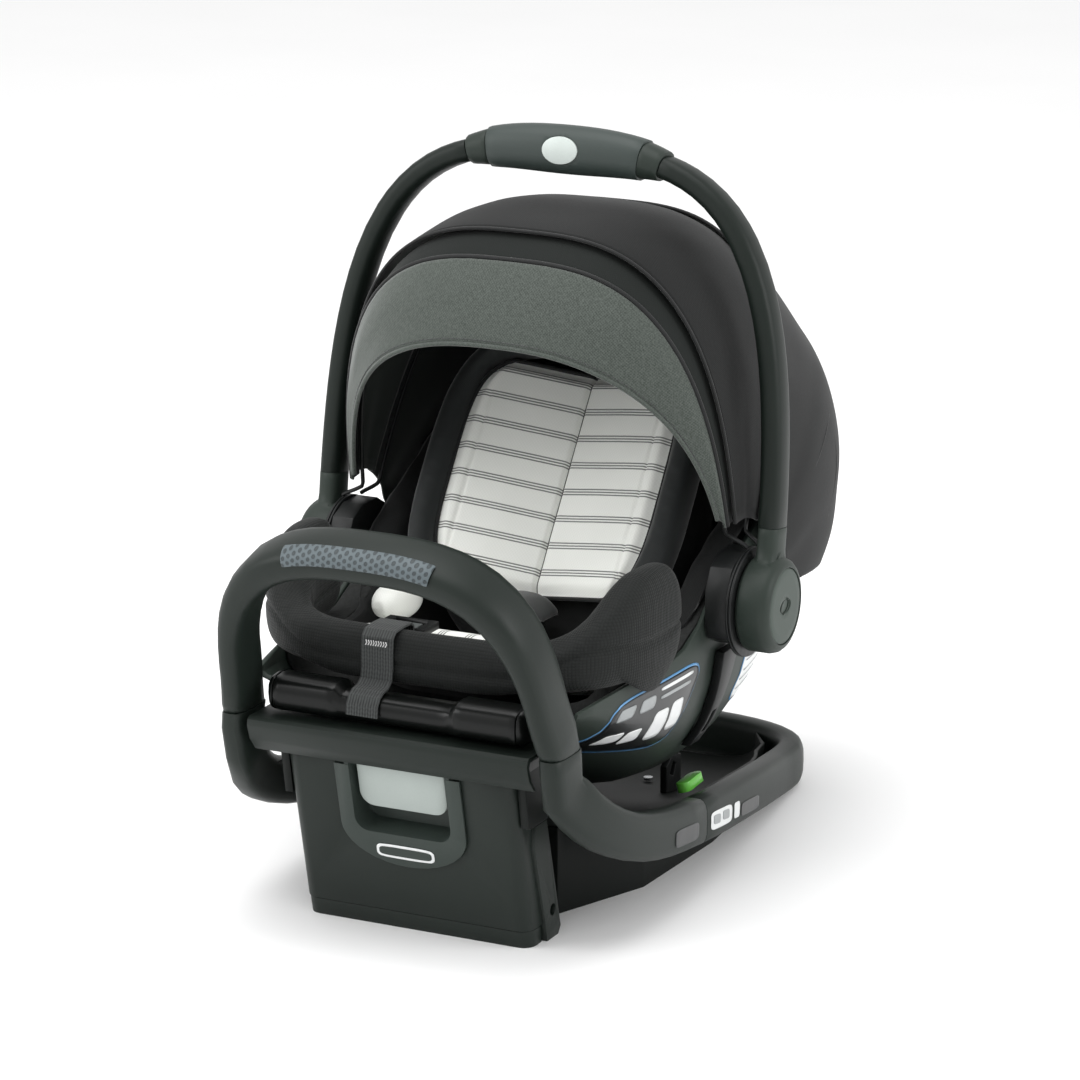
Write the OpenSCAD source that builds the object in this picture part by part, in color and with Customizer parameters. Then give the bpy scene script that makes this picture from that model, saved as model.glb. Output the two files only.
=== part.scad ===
// Infant car seat: a carrier with a swinging carry handle and a folding canopy,
// standing on its vehicle base with a rebound bar and a sliding front foot.
// Frame: +X is the seat's own left-hand side seen from behind, -Y is the foot end, +Z is up.
// The handle pivots lie on the plane Y = 0 and the foot and the rear pads stand on Z = 0.

/* [Handle] */
// Width over the outer faces of the two handle hubs
hub_span = 438; // [420:1:470]
// Height of the handle pivot above the floor
pivot_z = 239; // [225:1:260]
// Radius of the hub housings
hub_r = 40; // [34:1:42]
// Thickness of a hub housing along the pivot
hub_w = 29; // [26:1:34]
// Height of the handle's centre line above the pivot
handle_rise = 355; // [350:1:400]
// Backward lean of the handle at rest, in degrees
handle_lean = 7.5; // [0:0.5:8]
// Half thickness of the handle across its plane
arm_half_d = 15; // [11:0.5:18]
// Half thickness of the handle in its plane
arm_half_w = 9.5; // [8:0.5:11]
// Half length of the grip with its collars
grip_half = 88; // [70:1:110]
// Length of one grip collar
collar_len = 19; // [12:1:26]
// Half height of the grip sleeve at its middle
sleeve_half_h = 20.5; // [16:0.5:22]
// Half depth of the grip sleeve at its middle
sleeve_half_d = 18.5; // [15:0.5:20]
// Radius of the pivot pins
pivot_r = 9; // [6:0.5:12]
// Running clearance between a pin and its bore
pin_gap = 0.06; // [0.02:0.01:0.1]

/* [Carrier] */
// Length of the carrier shell
shell_len = 547; // [530:1:560]
// Width of the carrier shell at its widest
shell_w = 328; // [316:1:330]
// Thickness of the shell wall
shell_t = 4; // [2.5:0.5:5]
// Thickness of the foam liner
foam_t = 20; // [12:1:24]
// Thickness of the fabric cover with its wadding
cover_t = 7; // [4:1:10]
// Half width of the white back insert
insert_half_w = 97; // [70:1:100]
// Width of the harness webbing
web_w = 28; // [22:1:34]
// Thickness of the harness webbing
web_t = 1.8; // [1.2:0.2:2.4]

/* [Canopy] */
// Radius of the canopy over its middle, from the pivot axis
canopy_r = 321; // [316:1:322]
// Half width of the canopy
canopy_half_w = 178; // [176:0.5:179]
// Thickness of a canopy panel
canopy_t = 3; // [2:0.5:3]

/* [Base] */
// Half width of the base rim at its widest
rim_half_w = 165; // [155:1:175]
// Height of the base rim section
rim_h = 40; // [30:1:46]
// Width of the base rim section
rim_w = 24; // [18:1:30]
// Half width of the rebound bar at its legs
bar_half_w = 137; // [128:1:145]
// Height of the rebound bar's centre line above the floor
bar_top_z = 333; // [310:1:350]
// Half height of the rebound bar's section at the top
bar_half_h = 15; // [13:0.5:18]
// Half depth of the rebound bar's section
bar_half_d = 25; // [18:1:28]

/* [Foot] */
// Width of the foot tower
foot_w = 204; // [170:1:210]
// Forward lean of the foot, in degrees
foot_lean = 12.6; // [10:0.2:18]
// Depth of the foot at the floor
foot_d = 50; // [42:1:58]
// Height of the foot's shoe
shoe_h = 15; // [10:1:20]
// Wall thickness of the foot
foot_t = 4; // [2.5:0.5:5]
// Half width of the release lever
lever_half_w = 39; // [30:1:46]

/* [Hidden] */
$fn = 48;

// ---- clearances shared by neighbouring pieces ----
gap = 0.4;
hub_outer_x = hub_span / 2;
hub_inner_x = hub_outer_x - hub_w;
arm_x = hub_outer_x - hub_w / 2 - 1.5;
ring_t = 2.2;
mid_ring_x = hub_inner_x - 2 * (ring_t + gap);
front_ring_x = hub_inner_x - (ring_t + gap);
shell_half_w = shell_w / 2;
mount_outer_x = mid_ring_x - gap;

// ---- small helpers ----
function lerp(a, b, t) = a + (b - a) * t;
function smooth(t) = t <= 0 ? 0 : t >= 1 ? 1 : t * t * (3 - 2 * t);
function unit(v) = v / norm(v);
function spow(v, e) = sign(v) * pow(abs(v), e);
function superell(a, b, n, t) = [a * spow(cos(t), 2 / n), b * spow(sin(t), 2 / n)];
function across(a, b, n, v) = a * pow(max(0, 1 - pow(min(1, abs(v) / b), n)), 1 / n);
function flat(rows) = [for (row = rows) each row];
function quad(a, b, c, d) = [[a, b, c], [a, c, d]];

// Smooth curve through a table of [place, value] rows, read at one place
function slope(tb, i) =
    let (lo = max(0, i - 1), hi = min(len(tb) - 1, i + 1))
    (tb[hi][1] - tb[lo][1]) / (tb[hi][0] - tb[lo][0]);
function span_of(tb, y, i = 0) = (i >= len(tb) - 2 || y <= tb[i + 1][0]) ? i : span_of(tb, y, i + 1);
function curve(tb, y) =
    let (i = span_of(tb, y), w = tb[i + 1][0] - tb[i][0], t = (y - tb[i][0]) / w,
         t2 = t * t, t3 = t2 * t)
    (2 * t3 - 3 * t2 + 1) * tb[i][1] + (t3 - 2 * t2 + t) * w * slope(tb, i)
    + (3 * t2 - 2 * t3) * tb[i + 1][1] + (t3 - t2) * w * slope(tb, i + 1);

// A closed solid from points and triangles, turned the right way out by its own volume
module solid(points, faces) {
    parts = [for (f = faces) points[f[0]] * cross(points[f[1]], points[f[2]])];
    volume = parts * [for (f = faces) 1];
    polyhedron(points, volume > 0 ? [for (f = faces) [f[2], f[1], f[0]]] : faces);
}

// A thick sheet between two grids of points with the same rows and columns
module sheet(outer, inner) {
    rows = len(outer);
    cols = len(outer[0]);
    half = rows * cols;
    last = (rows - 1) * cols;
    solid(concat(flat(outer), flat(inner)), concat(
        [for (i = [0:rows - 2], j = [0:cols - 2]) let (k = i * cols + j)
            each quad(k, k + 1, k + cols + 1, k + cols)],
        [for (i = [0:rows - 2], j = [0:cols - 2]) let (k = half + i * cols + j)
            each quad(k, k + cols, k + cols + 1, k + 1)],
        [for (i = [0:rows - 2]) let (k = i * cols)
            each quad(k, k + cols, half + k + cols, half + k)],
        [for (i = [0:rows - 2]) let (k = i * cols + cols - 1)
            each quad(k, half + k, half + k + cols, k + cols)],
        [for (j = [0:cols - 2]) each quad(j, half + j, half + j + 1, j + 1)],
        [for (j = [0:cols - 2]) let (k = last + j) each quad(k, k + 1, half + k + 1, half + k)]));
}

// A solid through closed rings of points, with its two ends closed
module loft(rings) {
    rows = len(rings);
    cols = len(rings[0]);
    ones = [for (p = rings[0]) 1];
    first_mid = ones * rings[0] / cols;
    last_mid = ones * rings[rows - 1] / cols;
    last = (rows - 1) * cols;
    solid(concat(flat(rings), [first_mid, last_mid]), concat(
        [for (i = [0:rows - 2], j = [0:cols - 1]) let (k = i * cols, n = (j + 1) % cols)
            each quad(k + j, k + n, k + cols + n, k + cols + j)],
        [for (j = [0:cols - 1]) [rows * cols, (j + 1) % cols, j]],
        [for (j = [0:cols - 1]) [rows * cols + 1, last + j, last + (j + 1) % cols]]));
}

// A hollow sleeve between two sets of closed rings
module sleeve(outer, inner) {
    rows = len(outer);
    cols = len(outer[0]);
    half = rows * cols;
    last = (rows - 1) * cols;
    solid(concat(flat(outer), flat(inner)), concat(
        [for (i = [0:rows - 2], j = [0:cols - 1]) let (k = i * cols, n = (j + 1) % cols)
            each quad(k + j, k + n, k + cols + n, k + cols + j)],
        [for (i = [0:rows - 2], j = [0:cols - 1]) let (k = half + i * cols, n = (j + 1) % cols)
            each quad(k + j, k + cols + j, k + cols + n, k + n)],
        [for (j = [0:cols - 1]) let (n = (j + 1) % cols) each quad(j, half + j, half + n, n)],
        [for (j = [0:cols - 1]) let (n = (j + 1) % cols)
            each quad(last + j, last + n, half + last + n, half + last + j)]));
}

function ring(c, u, v, hu, hv, n, count) =
    [for (k = [0:count - 1]) let (s = superell(hu, hv, n, 360 * k / count)) c + u * s[0] + v * s[1]];

// Direction of a path at its point i
function tangent(path, i) = unit(path[min(len(path) - 1, i + 1)] - path[max(0, i - 1)]);

// An outline with round corners, for exact extrusions
function round_rect(x0, y0, x1, y1, r, steps = 6) =
    [for (c = [[x1 - r, y1 - r, 0], [x0 + r, y1 - r, 90], [x0 + r, y0 + r, 180], [x1 - r, y0 + r, 270]],
          k = [0:steps])
        [c[0] + r * cos(c[2] + 90 * k / steps), c[1] + r * sin(c[2] + 90 * k / steps)]];

module both_sides() {
    children();
    mirror([1, 0, 0]) children();
}

// A prism whose outline is drawn in the Y-Z plane and which runs from x0 to x1
module side_prism(x0, x1, outline) {
    translate([x0, 0, 0]) rotate([90, 0, 90]) linear_extrude(height = x1 - x0) polygon(outline);
}

// A round body about the X axis through the pivots, from its [x, radius] outline
module about_pivot(outline) {
    translate([0, 0, pivot_z]) rotate([0, 90, 0]) rotate([0, 0, 90])
        rotate_extrude($fn = 64) polygon([for (p = outline) [p[1], p[0]]]);
}

// ======================= base =======================
bar_n = 2.95;
leg_half_w = 10.5;
rim_side = [[-262, 140], [-225, 155], [-160, rim_half_w - 2], [-53, rim_half_w - 4], [100, rim_half_w - 18],
            [215, rim_half_w - 36]];
rim_level = [[-262, 150], [-225, 112], [-160, 82], [-53, 61], [100, 40], [215, 22]];
rim_seam_y = -48;
rim_rear_y = 280;
rim_turn_y = 205;
seam_z = 179.5;

function rim_ring(c, t, side, hu, hv) =
    let (u = unit(side - t * (t * side)), v = cross(t, u)) ring(c, u, v, hu, hv, 3.4, 20);

// Side stretch: drops from the leg's foot, then runs to the rear
function front_rim_path() = concat(
    [[bar_half_w + 4, -262, seam_z - 0.3], [bar_half_w + 5, -262, 168]],
    [for (k = [0:10]) let (y = lerp(-258, rim_seam_y - 0.3, k / 10 * (0.45 + 0.55 * k / 10)))
        [curve(rim_side, y), y, curve(rim_level, y)]]);

function rear_rim_path() =
    let (xs = curve(rim_side, rim_turn_y), zs = curve(rim_level, rim_turn_y))
    concat(
        [for (k = [0:8]) let (y = lerp(rim_seam_y, rim_turn_y, k / 8)) [curve(rim_side, y), y,
            curve(rim_level, y)]],
        [for (t = [9:9:90]) let (s = superell(xs, rim_rear_y - rim_turn_y, 2.7, t))
            [s[0], rim_turn_y + s[1], zs - 2 * s[1] / (rim_rear_y - rim_turn_y)]]);

module base_rim_front() color([0.17, 0.19, 0.18]) both_sides() {
    path = front_rim_path();
    last = len(path) - 1;
    loft([for (i = [0:last]) let (f = smooth(i / 7))
        rim_ring(path[i], i == 0 ? [0, 0, -1] : i == last ? [0, 1, 0] : tangent(path, i), [1, 0, 0],
            lerp(leg_half_w, rim_w / 2, f), lerp(bar_half_d, rim_h / 2, f))]);
}

module base_rim_rear() color([0.19, 0.21, 0.2]) {
    half = rear_rim_path();
    path = concat(half, [for (i = [len(half) - 2:-1:0]) [-half[i][0], half[i][1], half[i][2]]]);
    last = len(path) - 1;
    loft([for (i = [0:last])
        let (t = i == 0 ? [0, 1, 0] : i == last ? [0, -1, 0] : tangent(path, i), u = unit(cross(t, [0,
            0, 1])))
        ring(path[i], u, [0, 0, 1], rim_w / 2, min(rim_h / 2, path[i][2] - 0.5), 3.4, 20)]);
}

// The pan lies inside the rim, under the carrier
pan_floor = [[-205, 130], [-170, 84], [-100, 56], [0, 38], [100, 18], [160, 9], [200, 5], [252, 4],
    [264, 12]];
pan_t = 3.5;
pan_front_y = -200;
pan_rear_y = 258.6;
function pan_edge_x(y, o) =
    let (side = y < rim_turn_y ? curve(rim_side, y)
        : across(curve(rim_side, rim_turn_y), rim_rear_y - rim_turn_y, 2.7, y - rim_turn_y))
    side - rim_w / 2 - 3 * gap - o - 11 * smooth((y - 160) / 60);
function pan_rim(y) = curve(rim_level, min(y, 215)) + 6;
function pan_grid(o, ends) = [for (k = [0:18])
    let (y = lerp(pan_front_y + ends, pan_rear_y - ends, k / 18), zb = curve(pan_floor, y) + o,
        zr = pan_rim(y) + 8)
    [for (t = [0:11.25:180]) let (s = superell(pan_edge_x(y, o), zr - zb, lerp(2.2, 4,
        smooth((y - 60) / 110)), t))
        [s[0], y, zr - s[1]]]];
module base_pan() color([0.1, 0.11, 0.11]) sheet(pan_grid(0, 0), pan_grid(pan_t, pan_t));

// All that lies between a layer of the pan and a level
module pan_block(o, ends, z)
    sheet(pan_grid(o, ends), [for (row = pan_grid(o, ends)) [for (p = row) [p[0], p[1], z]]]);

// Lower moulding under the pan: it stands on the seat and stiffens the base
tray_t = 3;
tray_half = [[85, -150], [121, -61], [127, 66], [122, 130]];
module tray_plan() polygon(concat(tray_half, [for (i = [3:-1:0]) [-tray_half[i][0], tray_half[i][1]]]));
module base_tray() color([0.1, 0.11, 0.11]) difference() {
    linear_extrude(height = 110) tray_plan();
    translate([0, 0, tray_t]) linear_extrude(height = 110) offset(delta = -tray_t) tray_plan();
    pan_block(-1.2, -10, 240);
    side_prism(-160, 160, [[-160, 88], [-100, 74], [0, 54], [66, 42], [140, 30], [140, 200], [-160, 200]]);
}

// The beam closes the front between the rim ends, over the foot
beam_half_x = bar_half_w - leg_half_w - 2;
module front_beam() color([0.15, 0.17, 0.16]) {
    side_prism(-beam_half_x, beam_half_x, [[-274, 149], [-283, 160], [-287, 172], [-286, 177], [-283, 179],
        [-242, 179], [-242, 175], [-281, 175], [-282.5, 171], [-279, 161], [-270, 149]]);
    both_sides() side_prism(beam_half_x - 14, beam_half_x - 10, [[-280, 160], [-281, 176], [-242, 176],
        [-242, 160]]);
}

// Rebound bar: an arch in a plane that leans forward
bar_lean = 0.32;
bar_foot_z = 175;
function bar_place(x, z) = [x, -262 - (z - seam_z) * bar_lean, z];
bar_split_z = 300;
function bar_half_path() =
    let (b = bar_top_z - bar_foot_z, xt = across(bar_half_w, b, bar_n, bar_split_z - bar_foot_z))
    concat(
        [for (k = [0:9]) let (z = lerp(seam_z, bar_split_z, k / 9))
            bar_place(across(bar_half_w, b, bar_n, z - bar_foot_z) + 4 * (1 - smooth(k / 3)), z)],
        [for (k = [1:8]) let (x = lerp(xt, 0, k / 8)) bar_place(x, bar_foot_z + across(b, bar_half_w,
            bar_n, x))]);
function bar_path() = let (h = bar_half_path())
    concat(h, [for (i = [len(h) - 2:-1:0]) [-h[i][0], h[i][1], h[i][2]]]);
bar_normal = unit([0, 1, bar_lean]);
function bar_frame(path, i) =
    let (last = len(path) - 1, t = i == 0 ? unit([0, -bar_lean, 1]) : i == last ? unit([0, bar_lean,
        -1]) : tangent(path, i))
    unit(cross(bar_normal, t));
function bar_size(z) = lerp(leg_half_w, bar_half_h, smooth((z - 230) / 90));
module rebound_bar() color([0.15, 0.17, 0.16]) {
    path = bar_path();
    loft([for (i = [0:len(path) - 1]) let (c = path[i])
        [for (p = ring(c, bar_frame(path, i), bar_normal, -bar_size(c[2]), bar_half_d, 3, 18))
            i == 0 || i == len(path) - 1 ? [p[0], p[1], seam_z] : p]]);
}

// Textured pad let on to the upper front of the bar
pad_half_x = 62;
function pad_grid(lift) = [for (k = [0:14])
    let (x = lerp(-pad_half_x, pad_half_x, k / 14), z = bar_foot_z + across(bar_top_z - bar_foot_z,
        bar_half_w, bar_n, x),
         e = 0.5, z2 = bar_foot_z + across(bar_top_z - bar_foot_z, bar_half_w, bar_n, x + e),
         t = unit(bar_place(x + e, z2) - bar_place(x, z)), u = unit(cross(t, bar_normal)))
    [for (a = [-82:8:-18]) let (s = superell(bar_size(z) + lift, bar_half_d + lift, 3, a))
        bar_place(x, z) + u * s[0] * sign(u[2]) + bar_normal * s[1]]];
module bar_grip_pad() color([0.33, 0.37, 0.38]) sheet(pad_grid(1.8), pad_grid(0.35));

// Hooks that hold the carrier's cross bars
module carrier_latches() color([0.32, 0.34, 0.34]) both_sides() {
    difference() {
        side_prism(60, 66, [[105, 14], [105, 46], [120, 56], [135, 50], [135, 14]]);
        pan_block(pan_t + 0.1, 0, -50);
        side_prism(59, 67, [[112, 38], [119, 48], [125, 44], [120, 34]]);
    }
}

module rear_pads() color([0.08, 0.08, 0.08]) both_sides() translate([70, 240, 0]) cylinder(r = 17, h = 3.6);

module base_screws() color([0.5, 0.5, 0.52]) both_sides()
    for (y = [40, 150]) translate([28, y, curve(pan_floor, y) + pan_t + 2.2]) cylinder(r = 4, h = 2.4);

// Green release buttons of the belt lock-offs
lock_y = 3;
lock_x = rim_half_w - 27.5;
module lockoff_button() color([0.4, 0.72, 0.3]) translate([lock_x - 3, lock_y, 70.3]) rotate([2, -16, 0])
    linear_extrude(height = 8) polygon(round_rect(-6.5, -17, 6.5, 17, 6.4));
module lockoff_button_right() lockoff_button();
module lockoff_button_left() mirror([1, 0, 0]) lockoff_button();

// ======================= foot =======================
foot_axis = [0, -sin(foot_lean), cos(foot_lean)];
foot_front_y = -234;
foot_top_z = 166;
foot_half_w = foot_w / 2;
function foot_face(z) = foot_front_y - z * tan(foot_lean);
function foot_outline(in_front, in_rear, z0, z1) = [
    [foot_face(z0) + in_front, z0], [foot_face(z1) + in_front, z1],
    [min(foot_face(z1) + foot_d - 12, -244) - in_rear, z1],
    [foot_face(100) + foot_d - in_rear, min(100, z1 - 1)], [foot_face(z0) + foot_d - in_rear, z0]];

// A leaning prism with round front corners
module leaning_block(inset) {
    lift = 40;
    translate([0, foot_front_y, 0]) rotate([foot_lean, 0, 0]) translate([0, 0, -lift])
        linear_extrude(height = foot_top_z + 2 * lift)
            polygon(round_rect(-foot_half_w + inset, inset, foot_half_w - inset, 4 * foot_d, 12 - inset));
}

window_half_w = 43;
window_low = 88;
function at_face(z) = [0, foot_face(z), z];

// Places what follows on the foot's front face: local X across, local Y up the face, local Z outward
module on_face(z) translate(at_face(z)) rotate([90 + foot_lean, 0, 0]) children();

// Pillar on each side of the foot, with a hole for the transport strap
pillar_w = 3;
module foot_pillars() both_sides() difference() {
    side_prism(foot_half_w - foot_t, foot_half_w + pillar_w, [[foot_face(0) + 24, 0],
        [foot_face(shoe_h) + 24, shoe_h],
        [foot_face(86) + 20, 86], [foot_face(104) + 26, 104], [foot_face(104) + foot_d - 4, 104],
        [foot_face(6) + foot_d, 6], [foot_face(0) + foot_d - 6, 0]]);
    translate([0, foot_face(22) + foot_d - 11, 24]) rotate([0, 90, 0]) cylinder(r = 5, h = foot_w);
}

module foot_tower() color([0.15, 0.17, 0.16]) {
    foot_pillars();
    foot_body();
}
module foot_body() difference() {
    intersection() {
        side_prism(-foot_half_w, foot_half_w, foot_outline(0, 0, shoe_h + 0.3, foot_top_z));
        leaning_block(0);
    }
    side_prism(-foot_half_w + foot_t, foot_half_w - foot_t,
        [[foot_face(0) + foot_t, 0], [foot_face(300) + foot_t, 300], [0, 300], [0, 0]]);
    on_face(window_low - 6) translate([0, 0, -20]) linear_extrude(height = 40)
        polygon(round_rect(-window_half_w - 6, 0, window_half_w + 6, 200, 14));
    both_sides() translate([0, foot_face(22) + foot_d - 11, 24]) rotate([0, 90, 0]) cylinder(r = 5,
        h = foot_w);
}

module foot_bezel() color([0.28, 0.32, 0.3]) {
    difference() {
        on_face(window_low - 28) translate([0, 0, 0.3]) linear_extrude(height = 2.2)
            polygon(concat([for (t = [0:10:180]) [(window_half_w + 13) * cos(t), 34 - 34 * sin(t)]],
                [[-window_half_w - 13, 88], [window_half_w + 13, 88]]));
        on_face(window_low) translate([0, 0, -20]) linear_extrude(height = 40)
            polygon(round_rect(-window_half_w, 0, window_half_w, 200, 12));
    }
    difference() {
        on_face(window_low - 4) translate([0, 0, -24]) linear_extrude(height = 26)
            polygon(round_rect(-window_half_w - 4, 0, window_half_w + 4, 84, 13));
        on_face(window_low) translate([0, 0, -21]) linear_extrude(height = 40)
            polygon(round_rect(-window_half_w, 0, window_half_w, 200, 12));
    }
}

lever_low = 108;
module foot_lever() color([0.74, 0.76, 0.75]) on_face(lever_low) translate([0, 0, -15])
    linear_extrude(height = 11) polygon(concat(
        [for (t = [180:15:270]) [-lever_half_w + 12 + 12 * cos(t), 12 + 12 * sin(t)]],
        [for (t = [270:15:360]) [lever_half_w - 12 + 12 * cos(t), 12 + 12 * sin(t)]],
        [[lever_half_w, 44], [-lever_half_w, 44]]));

module foot_shoe() color([0.17, 0.19, 0.18]) difference() {
    intersection() {
        side_prism(-foot_half_w + 0.8, foot_half_w - 0.8, foot_outline(0, 0, 0, shoe_h));
        leaning_block(0.8);
        side_prism(-foot_half_w, foot_half_w, [[foot_face(0) - 9, -1], [foot_face(0) - 9, 40],
            [foot_face(0) + 21, 40],
            [foot_face(0) + 21, -1]]);
    }
    translate([-foot_half_w + 6, foot_face(0) + 5, 4]) cube([foot_w - 12, foot_d - 10, 40]);
}

module foot_pins() color([0.55, 0.56, 0.57]) both_sides()
    translate([foot_half_w - foot_t - 26, foot_face(135) + 33, 135]) rotate([0, 90,
        0]) cylinder(r = 3.5, h = 25);

// Channels of the base that hold the foot's two sides
module foot_guides() color([0.1, 0.11, 0.11]) both_sides() difference() {
    side_prism(foot_half_w + gap, beam_half_x - 15, [[foot_face(108) + 6, 108], [foot_face(170) + 8, 170],
        [foot_face(170) + 36, 170], [foot_face(108) + 40, 108]]);
    side_prism(foot_half_w, foot_half_w + 6, [[foot_face(100) + 12, 100], [foot_face(180) + 14, 180],
        [foot_face(180) + 28, 180], [foot_face(100) + 30, 100]]);
}

// ======================= carrier shell =======================
shell_front_y = -237;
shell_rear_y = shell_front_y + shell_len;
shell_low = [[0, 186], [0.05, 170], [0.12, 142], [0.25, 98], [0.37, 68], [0.5, 54], [0.62, 56], [0.72, 78],
             [0.82, 118], [0.9, 168], [0.96, 232], [1, 322]];
shell_rim = [[0, 204], [0.08, 208], [0.17, 211], [0.27, 211], [0.34, 224], [0.41, 254], [0.5, 274],
    [0.6, 298],
             [0.7, 326], [0.82, 350], [0.92, 348], [1, 332]];
shell_side = [[0, 0.88], [0.12, 0.94], [0.27, 0.985], [0.41, 1], [0.6, 1], [0.75, 0.97], [0.85, 0.9],
    [0.93, 0.74],
              [1, 0.54]];
shell_n = 2.6;
function along(y) = (y - shell_front_y) / shell_len;
function shell_x(y) = shell_half_w * curve(shell_side, along(y));
function rim_z(y) = curve(shell_rim, along(y));
function low_z(y) = curve(shell_low, along(y));
shell_stations = concat([for (k = [0:14]) k / 20], [for (k = [1:14]) 0.7 + 0.3 * sin(90 * k / 14)]);

// One layer of the carrier's bowl, set in from the outer surface by o
function bowl(stations, o, lift, cols) = [for (s = stations)
    let (y0 = shell_front_y + s * shell_len, mid = shell_front_y + shell_len / 2,
         y = mid + (y0 - mid) * (1 - 2 * o / shell_len), w = shell_x(y0) - o,
         zr = rim_z(y0) + lift * smooth((y0 - bolster_end_y) / 30),
             zb = min(low_z(y0) + o, zr - 6))
    [for (k = [0:cols]) let (p = superell(w, zr - zb, shell_n, 180 * k / cols)) [p[0], y, zr - p[1]]]];
function stations_between(s0, s1, steps) = [for (k = [0:steps]) lerp(s0, s1, smooth(k / steps))];
module shell() color([0.33, 0.36, 0.34]) sheet(bowl(shell_stations, 0, 0, 18), bowl(shell_stations,
    shell_t, 0, 18));
layer_gap = 1.4;
foam_in = shell_t + layer_gap;
foam_stations = stations_between(0.09, 0.93, 16);
module foam_liner() color([0.16, 0.17, 0.16])
    sheet(bowl(foam_stations, foam_in, -3, 16), bowl(foam_stations, foam_in + foam_t, -3, 16));
cover_in = foam_in + foam_t + layer_gap;
cover_stations = stations_between(0.16, 0.9, 16);
// The cover folds outward over the foam's edge behind the bolster
function flange(rows, lift) = [for (i = [0:len(rows) - 1])
    let (r = rows[i], c = len(r) - 1, y = r[0][1], w = shell_x(y) - 3,
        f = smooth((y - bolster_end_y - 2) / 24))
    concat([[lerp(r[0][0] + 0.5, w, f), y, r[0][2] + lift]], r, [[-lerp(r[0][0] + 0.5, w, f), y,
        r[c][2] + lift]])];
module seat_cover() color([0.08, 0.08, 0.08])
    sheet(flange(bowl(cover_stations, cover_in, 6, 16), 0.5),
        flange(bowl(cover_stations, cover_in + cover_t, 13, 16), -0.5));

// Rolled front lip with a lowered pull in its middle
lip_y = -257;
lip_z = 196;
lip_half_x = 108;
function lip_dip(x) = 1 - smooth((abs(x) - 46) / 8);
function lip_rings(x0, x1, steps) = [for (k = [0:steps]) let (x = lerp(x0, x1, k / steps), d = lip_dip(x))
    ring([x, lip_y + 2 * d, lip_z - 3.5 * d], [0, 1, 0], [0, 0, 1], 18 - 2.5 * d, 15 - 3 * d, 2.8, 16)];
module front_lip() color([0.05, 0.05, 0.05]) loft(lip_rings(-lip_half_x, lip_half_x, 36));
module lip_ends() color([0.05, 0.05, 0.05]) both_sides()
    loft([for (k = [0:3]) ring([lip_half_x + 0.6 + 3 * k, lip_y + 0.6 * k * k, lip_z], [0, 1, 0], [0, 0, 1],
        18 - 0.9 * k * k, 15 - 0.6 * k * k, 2.8, 16)]);

// Belt hooks on the shell's sides: a fin with a slot for the vehicle belt
function shell_out_x(y, z) = across(shell_x(y), rim_z(y) - low_z(y), shell_n, rim_z(y) - z);
function hook_grid(lift) = [for (k = [0:8]) let (z = lerp(196, 108, k / 8), half = lerp(15, 9, smooth(k / 6)))
    [for (y = [4 - half, 4, 4 + half]) [shell_out_x(y, z) + lift, y, z]]];
module belt_hooks() color([0.12, 0.13, 0.13]) both_sides() difference() {
    sheet(hook_grid(9), hook_grid(1));
    side_prism(shell_half_w - 60, shell_half_w + 20, [[0, 120], [8, 120], [8, 140], [0, 140]]);
}

// Blocks that carry the handle, bolted to the shell's sides
module handle_mounts() color([0.1, 0.11, 0.11]) both_sides() difference() {
    side_prism(shell_half_w + 0.6, mount_outer_x, [[-34, 214], [-40, 224], [-40, 256], [-30, 274], [-12, 282],
        [14, 282], [32, 272], [38, 250], [36, 226], [28, 214], [10, 206], [-16, 206]]);
    translate([shell_half_w, 0, pivot_z]) rotate([0, 90, 0]) cylinder(r = pivot_r, h = 60);
}

module pivot_pins() color([0.6, 0.61, 0.62]) both_sides() {
    translate([shell_half_w + 1, 0, pivot_z]) rotate([0, 90, 0])
        cylinder(r = pivot_r, h = hub_outer_x - 7 - shell_half_w);
}

// ======================= seat softs =======================
// Knit bolster round the front of the bowl, sitting on its rim
bolster_end_y = -62;
bolster_n = 4.2;
function bolster_place(t) = let (s = superell(shell_half_w - 9.5,
    -(shell_front_y + 10 - bolster_end_y), bolster_n, t))
    [s[0], bolster_end_y - s[1]];
function bolster_ring(t, f) =
    let (p = bolster_place(t), q = bolster_place(t + 1), m = bolster_place(t - 1), d = unit(q - m),
         u = [-d[1], d[0], 0], front = smooth(abs(sin(t)) * 1.25 - 0.25),
         low = max(max(rim_z(p[1]), rim_z(max(shell_front_y, p[1] - 12))) + 1.2, lip_z + 16.4),
         top = lerp(lerp(272, 300, smooth((bolster_end_y - p[1]) / 55)), 250, front),
         mid = (low + top) / 2, hv = (top - low) / 2 * (f < 1 ? 0.9 * f + 0.1 : 1))
    ring([p[0], p[1], mid], u, [0, 0, 1], lerp(19, 17, front) * f, hv, 2.9, 18);
module front_bolster() color([0.1, 0.105, 0.1]) loft(concat(
    [bolster_ring(1.2, 0.35)], [bolster_ring(2.2, 0.8)], [for (t = [4:5.375:176]) bolster_ring(t, 1)],
    [bolster_ring(177.8, 0.8)], [bolster_ring(178.8, 0.35)]));

// Striped seat cushion
module seat_cushion() color([0.85, 0.85, 0.82]) {
    top_z = [[-204, 226], [-185, 236], [-150, 226], [-90, 200], [-40, 186], [-18, 184]];
    loft([for (k = [0:12]) let (y = lerp(-204, -18, k / 12), e = sin(180 * (0.06 + 0.88 * k / 12)),
        h = 15 * pow(e, 0.5),
        w = 108 * pow(e, 0.25))
        ring([0, y, curve(top_z, y) - 15], [1, 0, 0], [0, 0, 1], w, h, 3, 24)]);
}

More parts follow.
